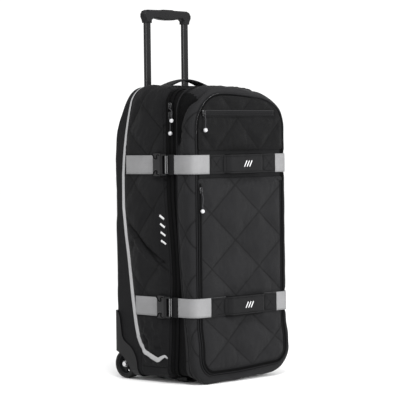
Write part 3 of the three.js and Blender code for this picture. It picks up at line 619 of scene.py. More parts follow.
# ------------------------------------------------------------------ more mesh helpers
def loft(name, rings, material):
    """A closed solid through rings of points, with a face on each end."""
    rings = np.asarray(rings, float)
    step = np.linalg.norm(rings[:, 1:] - rings[:, :-1], axis=-1).mean(axis=0)
    around = np.concatenate([[0], np.cumsum(step)])
    uv = np.stack(np.broadcast_arrays(lengths(rings.mean(axis=1))[:, None], around[None]), -1)
    obj = make_object(name, rings, ring_faces(*rings.shape[:2]), material, uv)
    outward(obj)
    return obj


def outward(obj):
    """Turns a closed mesh's faces outwards."""
    work = bmesh.new()
    work.from_mesh(obj.data)
    bmesh.ops.recalc_face_normals(work, faces=work.faces)
    work.to_mesh(obj.data)
    work.free()


def ribbon(name, path, normals, width, thickness, material, across=7, crown=0.0):
    """A band along a path: normals face out of it, and crown lifts its middle."""
    path = np.asarray(path, float)
    along = headings(path)
    normals = np.broadcast_to(np.asarray(normals, float), path.shape)
    normals = unit(normals - along * np.sum(normals * along, axis=1, keepdims=True))
    share = np.linspace(-0.5, 0.5, across)
    spread = np.broadcast_to(width, len(path))[:, None] * share[None]
    lift = thickness + crown * (1 - 4 * share ** 2)
    side = np.cross(normals, along)
    outer = path[:, None] + side[:, None] * spread[..., None] + normals[:, None] * lift[None, :, None]
    uv = np.stack(np.broadcast_arrays(lengths(path)[:, None], spread), -1)
    return shell(name, outer, thickness, uv, material)


def smooth_curve(points, per_span=5):
    """A centripetal Catmull-Rom curve through points."""
    p = np.asarray(points, float)
    p = np.concatenate([[2 * p[0] - p[1]], p, [2 * p[-1] - p[-2]]])
    made = []
    for a, b, c, d in zip(p, p[1:], p[2:], p[3:]):
        spans = [max(np.linalg.norm(w - v), 1e-9) ** 0.5 for v, w in ((a, b), (b, c), (c, d))]
        knots = np.cumsum([0] + spans)
        for t in np.linspace(knots[1], knots[2], per_span, endpoint=False):
            def mix(v, w, i, j):
                gap = knots[j] - knots[i]
                return v * (knots[j] - t) / gap + w * (t - knots[i]) / gap

            ab, bc, cd = mix(a, b, 0, 1), mix(b, c, 1, 2), mix(c, d, 2, 3)
            made.append(mix(mix(ab, bc, 0, 2), mix(bc, cd, 1, 3), 1, 2))
    return np.array(made + [p[-2]])


def recolour(obj, material, test):
    """Gives the faces whose centre passes the test another material."""
    obj.data.materials.append(MATERIALS[material])
    count = len(obj.data.polygons)
    centres, index = np.zeros(3 * count), np.zeros(count, np.int32)
    obj.data.polygons.foreach_get("center", centres)
    obj.data.polygons.foreach_get("material_index", index)
    index[test(*centres.reshape(-1, 3).T)] = len(obj.data.materials) - 1
    obj.data.polygons.foreach_set("material_index", index)


def cutter_from(work):
    """An object made from a bmesh, which is freed."""
    mesh = bpy.data.meshes.new("cutter")
    work.to_mesh(mesh)
    work.free()
    return add_object("cutter", mesh)


def cut_with(obj, cutter):
    """Cuts one closed mesh out of another, and removes the cutter."""
    modifier = obj.modifiers.new("cut", "BOOLEAN")
    modifier.operation = "DIFFERENCE"
    modifier.solver = "EXACT"
    modifier.object = cutter
    apply_modifiers(obj)
    bpy.data.objects.remove(cutter)


def apply_modifiers(obj):
    bpy.context.view_layer.update()
    whole = obj.evaluated_get(bpy.context.evaluated_depsgraph_get())
    mesh = bpy.data.meshes.new_from_object(whole)
    obj.modifiers.clear()
    obj.data = mesh


def rounded(obj, width, segments=3):
    """Rounds a hard-edged mesh's edges."""
    bevel = obj.modifiers.new("round", "BEVEL")
    bevel.width = width
    bevel.segments = segments
    bevel.limit_method = "ANGLE"
    bevel.angle_limit = math.radians(32)
    bevel.harden_normals = True


def prism(name, axis, points, low, high, material, bevel=0.0):
    """An outline in the two other coordinates, from low to high along the x or y axis."""
    order = {"x": (2, 0, 1), "y": (0, 2, 1)}[axis]
    rings = [xyz(*np.transpose(points), value)[:, order] for value in (low, high)]
    obj = loft(name, rings, material)
    if bevel:
        rounded(obj, bevel, 2)
        apply_modifiers(obj)
    for polygon in obj.data.polygons:
        polygon.use_smooth = True
    obj.data.set_sharp_from_angle(angle=math.radians(35))
    return obj


def lathe(name, profile, centre, material, segments=72):
    """A profile of radius and x turned round the x axis; the profile closes on itself."""
    radius, x = np.transpose(profile)
    turn = np.arange(segments) * 2 * math.pi / segments
    rings = xyz(x[None], np.outer(np.cos(turn), radius), np.outer(np.sin(turn), radius)) + np.asarray(centre)
    obj = make_object(name, rings, ring_faces(segments, len(x), True), material)
    outward(obj)
    obj.data.set_sharp_from_angle(angle=math.radians(40))
    return obj


# ------------------------------------------------------------------ cloth
def inflate(grid, hold, slack=0.012, pressure=14.0, frames=16, most=0.012):
    """How far each point of a grid moves out when cloth there is blown out from behind.
    hold is 1 where it is sewn down and 0 where it is free."""
    nu, nv = grid.shape[:2]
    mesh = bpy.data.meshes.new("cloth_trial")
    mesh.from_pydata(grid.reshape(-1, 3).tolist(), [], grid_faces(nu, nv))
    trial = add_object("cloth_trial", mesh)
    pins = trial.vertex_groups.new(name="pins")
    grip = np.round(np.clip(hold, 0, 1).ravel(), 1)
    for level in np.unique(grip[grip > 0]):
        pins.add(np.nonzero(grip == level)[0].tolist(), float(level), "REPLACE")
    cloth = trial.modifiers.new("cloth", "CLOTH")
    settings = cloth.settings
    settings.quality = 5
    settings.mass = 0.15
    settings.tension_stiffness = settings.compression_stiffness = 12
    settings.shear_stiffness = 6
    settings.bending_stiffness = 0.15
    settings.vertex_group_mass = "pins"
    settings.pin_stiffness = 2
    settings.shrink_min = -slack
    settings.use_pressure = True
    settings.uniform_pressure_force = pressure
    settings.effector_weights.gravity = 0
    cloth.point_cache.frame_end = frames
    scene = bpy.context.scene
    for number in range(1, frames + 1):
        scene.frame_set(number)
    bpy.context.view_layer.update()
    after = trial.evaluated_get(bpy.context.evaluated_depsgraph_get()).to_mesh()
    moved = np.zeros(3 * nu * nv)
    after.vertices.foreach_get("co", moved)
    bpy.data.objects.remove(trial)
    scene.frame_set(1)
    shift = moved.reshape(nu, nv, 3) - grid
    out = np.sum(shift * grid_normals(grid), axis=-1)
    return np.clip(out, -most / 3, most)


def swell(grid, distance, edge, height=0.0035, reach=0.012):
    """Padding on a grid: distance is metres to the nearest seam, edge to the border."""
    padding = puff(distance, height, reach) * smoothstep(edge, 0, 0.014)
    hold = np.maximum(1 - distance / 0.008, 1 - edge / 0.006)
    blown = inflate(grid, hold)
    valley = 1 - np.exp(-(distance / 0.006) ** 1.2)
    return padding * 0.55 + blown * valley * smoothstep(edge, 0, 0.008)


# ------------------------------------------------------------------ pull cords and sliders
# Each cord runs from its slider's eye to a ball, in the slider's own millimetres: across,
# out of the zip and up. A slider on the main zip is turned to face the bag's left.
PULL_ROUTES = {
    "aside": [(0, -7, -7.4), (4, -7.8, -9.2), (10, -8.4, -12.5), (13, -9.3, -18.5), (13.6, -10.6, -26),
              (13.4, -11.6, -34)],
    "low": [(0, -7, -7.4), (1.6, -7.7, -12), (4.4, -8.6, -19), (6, -9.2, -27), (6.2, -9.3, -35), (6, -9.2, -43)],
    "short": [(0, -7, -7.4), (0.3, -7.6, -11), (0.9, -8.4, -17), (0.4, -9, -24), (-0.4, -9.2, -31),
              (-0.6, -9.2, -38.6)],
    "long": [(0, -7, -7.4), (0.4, -7.7, -12), (1.4, -8.6, -20), (0.8, -9.2, -29), (-0.8, -9.3, -38),
             (-1.2, -9.2, -48.6)],
}
PULL_DIAMETER = 0.0025
PULLS = {
    "main_zip_upper": ("aside", "main_upper_slider", True),
    "main_zip_lower": ("low", "main_lower_slider", True),
    "upper_pocket": ("short", "upper_pocket_zip_slider", False),
    "lower_pocket": ("long", "lower_pocket_zip_slider", False),
}


def slider_place(name, turned):
    """The slider's own origin and its axes across, out and up, from its CAD box."""
    low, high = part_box(f"{name}_slider")
    up = (low.z + high.z) / 2
    if turned:
        return np.array([high.x, (low.y + high.y) / 2, up]), np.array([(0, -1, 0), (1, 0, 0), (0, 0, 1)], float)
    return np.array([(low.x + high.x) / 2, high.y, up]), np.eye(3)


def make_pull(name):
    route, body, turned = PULLS[name]
    origin, axes = slider_place(name, turned)
    points = smooth_curve(np.array(PULL_ROUTES[route]) / 1000 @ axes + origin)
    up = (0.1, 0.2, 0.97) if turned else (1, 0.1, 0)
    cord = tube(f"{name}_cord", points, PULL_DIAMETER / 2, "cord", 10, up=up)
    finish_piece(cord, body, [f"{name}_pull_cord"])
    ball = make_ball(name, body)


def make_ball(name, body):
    """The ball on a pull cord's end, with a fine parting line round its middle."""
    low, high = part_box(f"{name}_pull_ball")
    centre = (np.array(low) + np.array(high)) / 2
    radius = (high.z - low.z) / 2
    turn = np.linspace(0, math.pi, 25)[1:-1]
    r, z = radius * np.sin(turn), radius * np.cos(turn)
    r = (r - 0.0003 * np.exp(-(z / 0.0006) ** 2))[:, None]
    around = np.arange(28) * math.pi / 14
    rings = xyz(centre[0] + r * np.cos(around), centre[1] + r * np.sin(around), centre[2] + z[:, None])
    return finish_piece(loft(f"{name}_ball", rings, "ball"), body, [f"{name}_pull_ball"])


for pull in PULLS:
    make_pull(pull)


def lay_on(points, out, *pieces, lift=0.0004):
    """The points moved along their outward directions onto the pieces of those names."""
    trees = [BVHTree.FromPolygons([v.co for v in mesh.vertices], [p.vertices for p in mesh.polygons])
             for mesh in (bpy.data.objects[piece].data for piece in pieces)]
    laid = []
    for point, way in zip(points, np.broadcast_to(out, points.shape)):
        way = Vector(way).normalized()
        start = Vector(point) + way * 0.03
        hits = [tree.ray_cast(start, -way, 0.06)[0] for tree in trees]
        hits = [hit for hit in hits if hit is not None]
        best = max(hits, key=lambda hit: hit.dot(way)) if hits else Vector(point)
        laid.append(best + way * lift)
    return np.array([tuple(p) for p in laid])


def calmed(path, passes=3):
    """A path with its small steps smoothed out, ends kept."""
    for _ in range(passes):
        path[1:-1] = (path[:-2] + 2 * path[1:-1] + path[2:]) / 4
    return path


# ------------------------------------------------------------------ fabric of the body
SIDE_LOW = 0.040
PLAIN_TOP = 0.187  # the side's cloth is plain below this height
STARTS = np.concatenate([[0], np.cumsum(SEGMENT_COUNTS)])
FABRIC = 0.0035


def seam_y(z):
    """Where the side seam is at a height."""
    return np.interp(z, SEAM[::-1, 1], SEAM[::-1, 0])


def columns(first, last):
    """Outline points from one to another, counted on past the end where it wraps."""
    index = np.arange(first, last + 1) % len(SEGMENT)
    return SEGMENT[index], SHARE[index]


def side_columns(sign):
    """The points of one side, from above the base round the shoulder to the flat top."""
    x, z = outline(*body_sizes(0.0))
    on = np.nonzero((z > SIDE_LOW) & (x * sign > HALF_WIDTH - ZIP_RECESS - BODY_HIGH_R))[0]
    return on[0], on[-1]


# A smooth patch beside the zip, and the crease that runs down to it: y and z.
PATCH_EDGE = np.array([
    (-50, 484), (-30, 477), (-13, 465), (-6, 442), (-8, 410), (-11, 379), (-12, 352), (-22, 331), (-43, 309),
    (-60, 292),
]) / 1000
CREASE = np.array([(86, 415), (50, 388), (13, 352), (-15, 329), (-40, 306), (-54, 284), (-58, 258)]) / 1000


def patch_depth(y, z):
    """Metres inside the smooth patch, negative outside."""
    inside = (z > 0.309) & (z < 0.484) & (y < np.interp(z, PATCH_EDGE[::-1, 1], PATCH_EDGE[::-1, 0]))
    return np.where(inside, 1, -1) * line_distance(y, z, PATCH_EDGE)


def side_relief(y, z, sign):
    """How far the side fabric stands out between the zip, the seam and the straps."""
    back = seam_y(z)
    across = np.clip((y + RIM) / (back + RIM), 0, 1)
    belly = np.sin(math.pi * across) ** 0.7 * (0.10 + 0.90 * strap_pinch(z, 0.045))
    sag = 0.0055 + 0.0035 * np.exp(-((z - 0.33) / 0.07) ** 2) + 0.002 * np.exp(-((z - 0.50) / 0.05) ** 2)
    folds = 0.0026 * soft_noise(y + 0.3 * z, z * 0.6, 0.035, 11 + sign)
    folds = folds + 0.0013 * soft_noise(y, z + 0.8 * y, 0.014, 21 + sign)
    rumple = soft_noise(y * 0.6 + z * 0.5, z - y * 0.6, 0.017, 31 + sign)
    rumple = rumple + 0.5 * soft_noise(y, z - y * 0.6, 0.009, 33 + sign)
    slack = smoothstep(0.19 - z, 0, 0.03) * (0.0065 * (0.4 - np.abs(rumple)) + 0.002)
    strap = np.minimum(*(abs(z - height) for height in STRAP_Z.values()))
    near = np.exp(-((strap - 0.034) / 0.012) ** 2)
    creases = near * 0.0028 * soft_noise(y, z * 0.3, 0.011, 41 + sign)
    fold = line_distance(y, z, CREASE)
    below = np.interp(y, CREASE[::-1, 0], CREASE[::-1, 1]) - z
    fade = smoothstep(y, -0.05, -0.02) * (1 - smoothstep(y, 0.05, 0.08))
    roll = 0.0085 * np.exp(-((below - 0.014) / 0.013) ** 2) * smoothstep(below, 0, 0.008) * (0.4 + 0.6 * fade)
    groove = 0.0075 * np.exp(-(fold / 0.0042) ** 2)
    return belly * (sag + folds + slack + creases + roll) - groove


def panel_grid(first, last, steps):
    """A body panel's points from the side seam forward to the zip, and its outline's x and z."""
    segment, share = columns(first, last)
    x0, z0 = outline(*body_sizes(0.0), segment, share)
    y = seam_y(z0)[:, None] + (ZIP_Y - seam_y(z0)[:, None]) * np.linspace(0, 1, steps)[None]
    x, z = outline(*body_sizes(y), segment[:, None], share[:, None])
    return xyz(x, y, z), x0, z0


def trim_height(y):
    """How high the trim's lower end runs at y: the cloth below it is the tough base."""
    return np.interp(y, TRIM_ROUTE[10:, 0][::-1], TRIM_ROUTE[10:, 1][::-1])


def make_side(name, sign):
    """A quilted side: plain low down and on the smooth patch, tough below the trim."""
    grid, x0, z0 = panel_grid(*side_columns(sign), 60)
    y, z = grid[..., 1], grid[..., 2]
    length = lengths(np.column_stack([x0, z0]))
    up = length if sign > 0 else length[-1] - length
    u, v = side_quilt(y, z + (up - (z0 - z0.min()))[:, None])
    edges = np.broadcast_arrays(y + RIM, seam_y(z) - y, z - SIDE_LOW, (up.max() - up)[:, None])
    border = np.maximum(np.minimum.reduce(edges), 0)
    patch = patch_depth(y, z)
    quilted = smoothstep(z, 0.175, 0.20)
    distance = np.where((quilted > 0) & (patch < 0), quilt_distance(u, v, QUILT["side"]), 0.03)
    relief = side_relief(y, z, sign) * smoothstep(border, 0, 0.02)
    relief = relief - 0.0016 * np.exp(-(patch / 0.0035) ** 2) * smoothstep(border, 0, 0.01)
    swollen = swell(grid, distance, border, 0.0034) * (0.35 + 0.65 * quilted)
    swollen = swollen * (0.10 + 0.90 * strap_pinch(z, 0.016)) * (1 - 0.8 * smoothstep(patch, 0, 0.01))
    cloth = lean_body(grid + grid_normals(grid) * (relief + swollen)[..., None])
    piece = shell(f"side_fabric_{name}", cloth, FABRIC, np.stack([u, v], -1), "quilt_side")
    recolour(piece, "plain", lambda cx, cy, cz: (cz < PLAIN_TOP) | (patch_depth(cy + body_lean(cz) * 0.8, cz) > 0))
    recolour(piece, "tough", lambda cx, cy, cz: cz < trim_height(cy))
    finish_piece(piece, "bag_body", [f"side_panel_{name}"])
    make_side_mark(name, sign)


def make_side_mark(name, sign):
    """Four pale slanted bars, printed one under the other on the smooth patch."""
    t = np.linspace(0, 1, 7)
    for k in range(4):
        z = 0.4395 - 0.022 * k
        y = -0.030 - body_lean(z) * 0.8
        bar = xyz(sign * 0.19, y - 0.007 + 0.014 * t, z - 0.005 + 0.010 * t)
        laid = lay_on(bar, [sign, 0, 0], f"side_fabric_{name}", lift=0.0001)
        mark = ribbon(f"side_mark_{name}_{k + 1}", laid, [sign, 0, 0], 0.0060, 0.0004, "mark", 3)
        finish_piece(mark, "bag_body")


def make_rim_panel(name, first, last, material, nodes, quilt=None):
    """The fabric across the top or the bottom, from the zip back to the seam."""
    grid = panel_grid(first, last, 30)[0]
    x, y, z = np.moveaxis(grid, -1, 0)
    edge = np.maximum(np.minimum(y + RIM, seam_y(z) - y), 0)
    relief = 0.0012 * smoothstep(edge, 0, 0.03) * soft_noise(x, y, 0.03, 5)
    if quilt:
        relief = relief + puff(quilt_distance(x, y, quilt), 0.003, 0.012) * smoothstep(edge, 0, 0.014)
    cloth = lean_body(grid + grid_normals(grid) * relief[..., None])
    piece = shell(name, cloth, FABRIC, np.stack([x, y], -1), material)
    finish_piece(piece, "bag_body", nodes)
    return piece


def make_body_panels():
    for name, sign in SIDES:
        make_side(name, sign)
    right, left = side_columns(1), side_columns(-1)
    top = make_rim_panel("top_fabric", right[1], left[0], "quilt_top", ["top_panel"], QUILT["top"])
    make_rim_panel("base_fabric", left[1], right[0] + len(SEGMENT), "tough", ["bottom_panel"])


def make_back():
    """The smooth back: from the seam round the shoulders and edges to a flat middle,
    with wells for the wheels and slots for the handle's tubes."""
    _, z0 = outline(*body_sizes(0.0))
    start = seam_y(z0)
    t = np.concatenate([np.linspace(0, 0.75, 16), np.sin(np.linspace(math.asin(0.75), math.pi / 2, 22)[1:])])
    y = start[:, None] + (BODY_BACK - 0.0001 - start[:, None]) * t[None]
    x, z = outline(*body_sizes(y), SEGMENT[:, None], SHARE[:, None])
    # Columns run the other way round here, so that the grid's normals still face out.
    grid = xyz(x, y, z)[::-1]
    rim = grid[:, -1]
    middle = xyz(rim[:, 0] * 0.02, rim[:, 1], 0.31 + (rim[:, 2] - 0.31) * 0.55)
    inward = np.linspace(0, 1, 26)[1:]
    disc = rim[:, None] + (middle - rim)[:, None] * inward[None, :, None]
    grid = np.concatenate([grid, disc], 1)
    ripple = sum(size * soft_noise(grid[..., 0], grid[..., 2], scale, seed)
                 for size, scale, seed in ((0.0011, 0.045, 7), (0.0004, 0.017, 8)))
    edge = np.minimum(np.arange(grid.shape[1]) / 5, 1)[None]
    grid = grid + grid_normals(grid, True) * (ripple * edge)[..., None]
    uv = np.stack([grid[..., 0] + grid[..., 1], grid[..., 2]], -1)
    piece = shell("back_fabric", grid, FABRIC, uv, "tough", wrap=True, capped=True)
    turn = np.linspace(-0.5, 0.5, 17) * math.pi
    arch = [(WHEEL_Y - WELL_R * math.cos(a), WHEEL_R + WELL_R * math.sin(a)) for a in turn]
    well = [(0.3, -0.02), (arch[0][0], -0.02), *arch, (0.3, WHEEL_R + WELL_R)]
    work = bmesh.new()
    for _, sign in SIDES:
        low, high = sorted((sign * 0.124, sign * 0.3))
        cut_with(piece, prism("well", "x", well, low, high, "plain"))
        slot = Matrix.Translation((sign * TUBE_X, TUBE_Y, 0.775)) @ Matrix.Diagonal((0.023, 0.013, 0.25, 1))
        bmesh.ops.create_cube(work, size=1, matrix=slot)
    cut_with(piece, cutter_from(work))
    finish_piece(piece, "bag_body", ["back_panel"])


def make_trim(name, sign):
    """Reflective tape over the side seam, from the top round the shoulder to the zigzag."""
    x, z = outline(*body_sizes(SEAM[0, 0]))
    chosen = (np.abs(x) > 0.10) & (z > 0.119) & (x * sign > 0)
    segment, share = SEGMENT[chosen], SHARE[chosen]
    y = seam_y(z[chosen])
    x, z = outline(*body_sizes(y), segment, share)
    order = np.argsort(np.abs(x) - z)
    upper = xyz(x, y, z)[order]
    centre = xyz(np.clip(np.abs(x), 0, HALF_WIDTH - BODY_HIGH_R) * sign, y, np.minimum(z, 0.742))[order]
    y, z = evenly(np.concatenate([TRIM_ROUTE[11:], ZIGZAG]), 0.005).T
    lower = xyz(sign * side_x(y, z), y, z)
    out = unit(np.concatenate([upper - centre, np.broadcast_to([sign, 0, 0], lower.shape)]))
    count, side = len(upper), f"side_fabric_{name}"
    path = lay_on(np.concatenate([upper, lower]), out, side, "back_fabric", "top_fabric")
    path[:count] = calmed(path[:count])
    path[count:] = lay_on(path[count:], out[count:], side)
    width = np.interp(path[:, 2], [0.06, 0.12, 0.45, 0.62, 0.74, 0.785],
                      [0.0132, 0.0121, 0.0099, 0.0083, 0.0053, 0.0029])
    width[count + len(lower) - 7:] *= np.linspace(0.9, 0.35, 7)
    tape = ribbon(f"trim_{name}", path, out, width, 0.0014, "trim", crown=0.0006)
    finish_piece(tape, "bag_body", [f"side_piping_{name}"])


make_body_panels()
make_back()
for name, sign in SIDES:
    make_trim(name, sign)


# ------------------------------------------------------------------ fabric of the lid
LID_STATIONS = {  # distance forward, then half width, bottom, top and the two radii
    0.0623: (0.176, 0.021, 0.774, 0.023, 0.041), 0.076: (0.176, 0.021, 0.774, 0.023, 0.041),
    0.082: (0.183, 0.012, 0.780, 0.038, 0.066), 0.102: (0.183, LID_BOTTOM, LID_TOP, 0.056, 0.094),
    -LID_FRONT - LID_EDGE_R: (0.183, LID_BOTTOM, LID_TOP, LID_LOW_R, LID_HIGH_R),
}


def lid_sizes(y):
    """Half width, bottom, top and radii of the lid at y, rounded over at the front."""
    ahead = -np.asarray(y, float)
    keys = list(LID_STATIONS)
    half, bottom, top, low_r, high_r = (
        np.interp(ahead, keys, [LID_STATIONS[k][i] for k in keys]) for i in range(5))
    inset = corner_inset(LID_EDGE_R, np.clip(ahead - (-LID_FRONT - LID_EDGE_R), 0, LID_EDGE_R))
    return half - inset, bottom + inset, top - inset, low_r - inset, high_r - inset


# Where the lid's side has sunk in beside the zip pulls: y and z.
HOLLOW = np.array([(-88, 612), (-93, 645), (-99, 690), (-112, 722), (-128, 748), (-142, 775)]) / 1000


def hollow_edge(z):
    """The hollow's middle, as y, at a height."""
    return np.interp(z, HOLLOW[:, 1], HOLLOW[:, 0])


def under_strap(grid):
    """Presses the lid's front corners in where the straps run round them."""
    radius = STRAP_TURN
    mid_x, mid_y = WEB_X - radius, FRONT - 0.002 - WEB / 2 + radius
    x, y = np.abs(grid[..., 0]), grid[..., 1]
    far = np.hypot(np.maximum(x - mid_x, 0), np.maximum(mid_y - y, 0))
    keep = (radius - WEB / 2 - 0.0008) / np.maximum(far, 1e-6)
    share = (1 - strap_pinch(grid[..., 2], 0.012)) * (far * keep < far) * (x > mid_x) * (y < mid_y)
    scale = 1 + (np.minimum(keep, 1) - 1) * share
    grid[..., 0] = np.where(share > 0, np.sign(grid[..., 0]) * (mid_x + (x - mid_x) * scale), grid[..., 0])
    grid[..., 1] = np.where(share > 0, mid_y - (mid_y - y) * scale, y)
    return grid


def make_gusset():
    """The lid's side wall, all the way round, from the zip to the piped front edge."""
    flat_end = -LID_FRONT - LID_EDGE_R
    y = -np.concatenate([[0.0623, 0.070, 0.076, 0.079, 0.082], np.linspace(0.086, flat_end, 13), [
        flat_end + LID_EDGE_R * math.sin(a) for a in np.linspace(0.2, math.pi / 2, 9)]])
    x, z = outline(*lid_sizes(y), SEGMENT[:, None], SHARE[:, None])
    grid = xyz(x, y, z)
    length = lengths(grid[:, 8])
    u, v = grid[..., 1], grid[..., 2]
    edge = np.clip(np.minimum(-0.082 - u, u + 0.145), 0, 1)
    straight = smoothstep(v, 0.05, 0.09) * (1 - smoothstep(v, 0.71, 0.745))
    distance = np.where(straight > 0, quilt_distance(u, v, QUILT["gusset"]), 0.03)
    padding = puff(distance, 0.0030, 0.011) * smoothstep(edge, 0, 0.014)
    padding = padding * (0.1 + 0.9 * strap_pinch(v, 0.016))
    belly = 0.004 * smoothstep(edge, 0, 0.025) * (0.1 + 0.9 * strap_pinch(v, 0.035))
    folds = smoothstep(edge, 0, 0.02) * 0.0022 * soft_noise(u * 2, length[:, None], 0.03, 51)
    on_left = smoothstep(-grid[..., 0], 0.10, 0.15)
    hollow = np.exp(-(line_distance(u, v, HOLLOW) / 0.010) ** 2) * smoothstep(edge, 0, 0.012)
    sunk = smoothstep(u - hollow_edge(v), -0.006, 0.008) * smoothstep(v, 0.60, 0.64) * smoothstep(-u, 0.077, 0.082)
    folds = folds - (0.010 * hollow + 0.009 * sunk) * on_left
    creases = 0.0022 * soft_noise(u - 0.5 * v, u + 2 * v, 0.012, 55)
    creases = creases * smoothstep(v, 0.60, 0.66) * smoothstep(edge, 0, 0.015)
    folds = folds + creases * smoothstep(-grid[..., 0], 0.0, 0.10)
    cloth = grid + grid_normals(grid, True) * (padding + belly + folds)[..., None]
    cloth = under_strap(lean_lid(cloth))
    piece = shell("lid_side_fabric", cloth, FABRIC, np.stack([u, v], -1), "quilt_gusset", wrap=True)
    # Painted shade: the gusset beside the zip, under and just past the lid's tape, takes the near-black tape cloth to
    # darken the zip's recess.
    recolour(piece, "zip_tape", lambda cx, cy, cz: cy > -0.0785 - 0.8 * lid_lean(cz))
    # Painted shade: on the left near the top, the sunk-in cloth from the zip out to the hollow takes the near-black
    # tape cloth too, to darken the hollow.
    recolour(piece, "zip_tape", lambda cx, cy, cz: (cx < -0.14) & (cz > 0.63) & (cz < 0.765) & (
        cy + 0.010 > hollow_edge(cz) + 0.006))
    finish_piece(piece, "lid", ["lid_gusset"])


def row_grid(half, bottom, top, low_r, high_r, step=0.004):
    """x and z on rows across a rounded rectangle."""
    rows = np.linspace(bottom, top, max(int((top - bottom) / step), 8) + 1)
    trim = corner_inset(low_r, np.clip(bottom + low_r - rows, 0, low_r))
    trim = trim + corner_inset(high_r, np.clip(rows - (top - high_r), 0, high_r))
    share = np.linspace(-1, 1, max(int(2 * half / step), 8) + 1)
    x = share[:, None] * np.maximum(half - trim, 0.004)[None]
    return x, np.broadcast_to(rows[None], x.shape)


def outline_distance(x, z, half, bottom, top, low_r, high_r):
    """Metres inside a rounded rectangle."""
    upper = z > (bottom + top) / 2
    r = np.where(upper, high_r, low_r)
    qx = np.abs(x) - (half - r)
    qz = np.where(upper, z - (top - r), (bottom + r) - z)
    outside = np.hypot(np.maximum(qx, 0), np.maximum(qz, 0)) + np.minimum(np.maximum(qx, qz), 0) - r
    return np.maximum(-outside, 0)


# The front panel's outline: half width, bottom, top and the two radii.
FRONT_INSET = LID_EDGE_R + 0.002
FRONT_HALF = HALF_WIDTH - FRONT_INSET
FRONT_LOW, FRONT_HIGH = LID_BOTTOM + FRONT_INSET, LID_TOP - FRONT_INSET
FRONT_LOW_R, FRONT_HIGH_R = LID_LOW_R - FRONT_INSET, LID_HIGH_R - FRONT_INSET
POCKET_TOP, POCKET_BOTTOM = 0.541, 0.614
SQUARE = 0.006  # the radius of a pocket's square corners
GROOVE = 0.0042  # the gap between a pocket and the front's edge
POCKETS = {
    "lower": (FRONT_HALF - GROOVE, FRONT_LOW + GROOVE, POCKET_TOP, FRONT_LOW_R - GROOVE, SQUARE),
    "upper": (FRONT_HALF - GROOVE, POCKET_BOTTOM, FRONT_HIGH - GROOVE, SQUARE, FRONT_HIGH_R - GROOVE),
}
UPPER_ZIP_Z = 0.712
LOWER_ZIP_X = -0.1595
LOWER_ZIP_INSET = FRONT_HALF - GROOVE + LOWER_ZIP_X
ZIP_HALF = 0.0055  # half the width of a pocket zip's furrow


def make_lid_front():
    """The flat front panel under both pockets."""
    proud = 0.0016
    x, z = row_grid(FRONT_HALF + proud, FRONT_LOW - proud, FRONT_HIGH + proud, FRONT_LOW_R, FRONT_HIGH_R, 0.006)
    grid = slump(xyz(x, LID_FRONT, z))
    piece = shell("lid_front_fabric", grid, FABRIC, np.stack([x, z], -1), "plain")
    rim = (FRONT_HALF, FRONT_LOW, FRONT_HIGH, FRONT_LOW_R, FRONT_HIGH_R)
    # Painted shade: the front panel's strip in the groove round the pockets takes the near-black tape cloth, to darken
    # the groove.
    recolour(piece, "zip_tape", lambda cx, cy, cz: outline_distance(cx, cz, *rim) < GROOVE + 0.004)
    finish_piece(piece, "lid", ["lid_front"])


def zip_gap(level, x, z):
    """Metres from the pocket's zip line."""
    if level == "upper":
        return np.hypot(np.abs(z - UPPER_ZIP_Z), np.maximum(np.abs(x + 0.010) - 0.140, 0))
    inside = (np.abs(x) < -LOWER_ZIP_X - 0.02) & (z > FRONT_LOW + 0.03)
    return np.where(inside, 1.0, np.abs(outline_distance(x, z, *POCKETS["lower"]) - LOWER_ZIP_INSET))


def make_pocket(level):
    """A quilted pocket, with a furrow for its zip."""
    shape = POCKETS[level]
    x, z = row_grid(*shape)
    grid = xyz(x, LID_FRONT - 0.0036, z)
    edge = outline_distance(x, z, *shape)
    near_zip = zip_gap(level, x, z)
    zone = "front" if level == "lower" else "upper"
    u, v = front_quilt(x, z)
    distance = quilt_distance(u, v, QUILT[zone])
    border = np.minimum(edge, np.maximum(near_zip - ZIP_HALF, 0))
    relief = swell(grid, distance, border, 0.0036)
    sag = 0.0012 * soft_noise(x, z, 0.03, 61) + 0.0008 * soft_noise(x + 0.6 * z, z - 0.4 * x, 0.014, 62)
    relief = relief + smoothstep(border, 0, 0.02) * sag
    relief = relief * (1 - 0.75 * np.exp(-((z - STRAP_Z["lower"]) / 0.032) ** 6))
    relief = relief - 0.0014 * (near_zip < ZIP_HALF)
    ball_path = np.exp(-((z - 0.668) / 0.013) ** 4) if level == "upper" else 0
    relief = relief - np.maximum(relief - 0.0026, 0) * ball_path
    grid[..., 1] -= relief
    piece = shell(f"{level}_pocket_fabric", slump(grid), FABRIC, np.stack([u, v], -1), f"quilt_{zone}")
    finish_piece(piece, "lid", [f"{level}_pocket"])


def rounded_path(half, bottom, top, low_r, high_r, step=0.006):
    """x and z round the outline, from the middle of the bottom, right side first."""
    x, z = outline(half, bottom, top, low_r, high_r)
    return evenly(np.column_stack([x, z]), step)


def make_front_piping():
    """Dark piping round the front, and a fine pale line on it over the left half of the arch: a painted highlight where
    the light catches the piping.
    """
    out = 0.002
    x, z = rounded_path(FRONT_HALF + out, FRONT_LOW - out, FRONT_HIGH + out, FRONT_LOW_R + out, FRONT_HIGH_R + out).T
    pressed = 0.0014 * (1 - strap_pinch(z, 0.010))
    points = slump(xyz(x, LID_FRONT - 0.0015 + pressed, z))
    dark = tube("lid_edge_piping", points, 0.0024, "tough", 8, closed=True, up=(0, 1, 0))
    finish_piece(dark, "lid")
    # Painted highlight: the pale line is laid only over the left of the arch, where the light catches the piping.
    arch = points[(points[:, 2] > 0.652) & (points[:, 0] < -0.085)][::-1] + np.array([0, -0.0016, 0])
    pale = tube("lid_arch_piping_highlight", arch, 0.0008, "piping_highlight", 8, up=(0, 1, 0))
    finish_piece(pale, "lid")


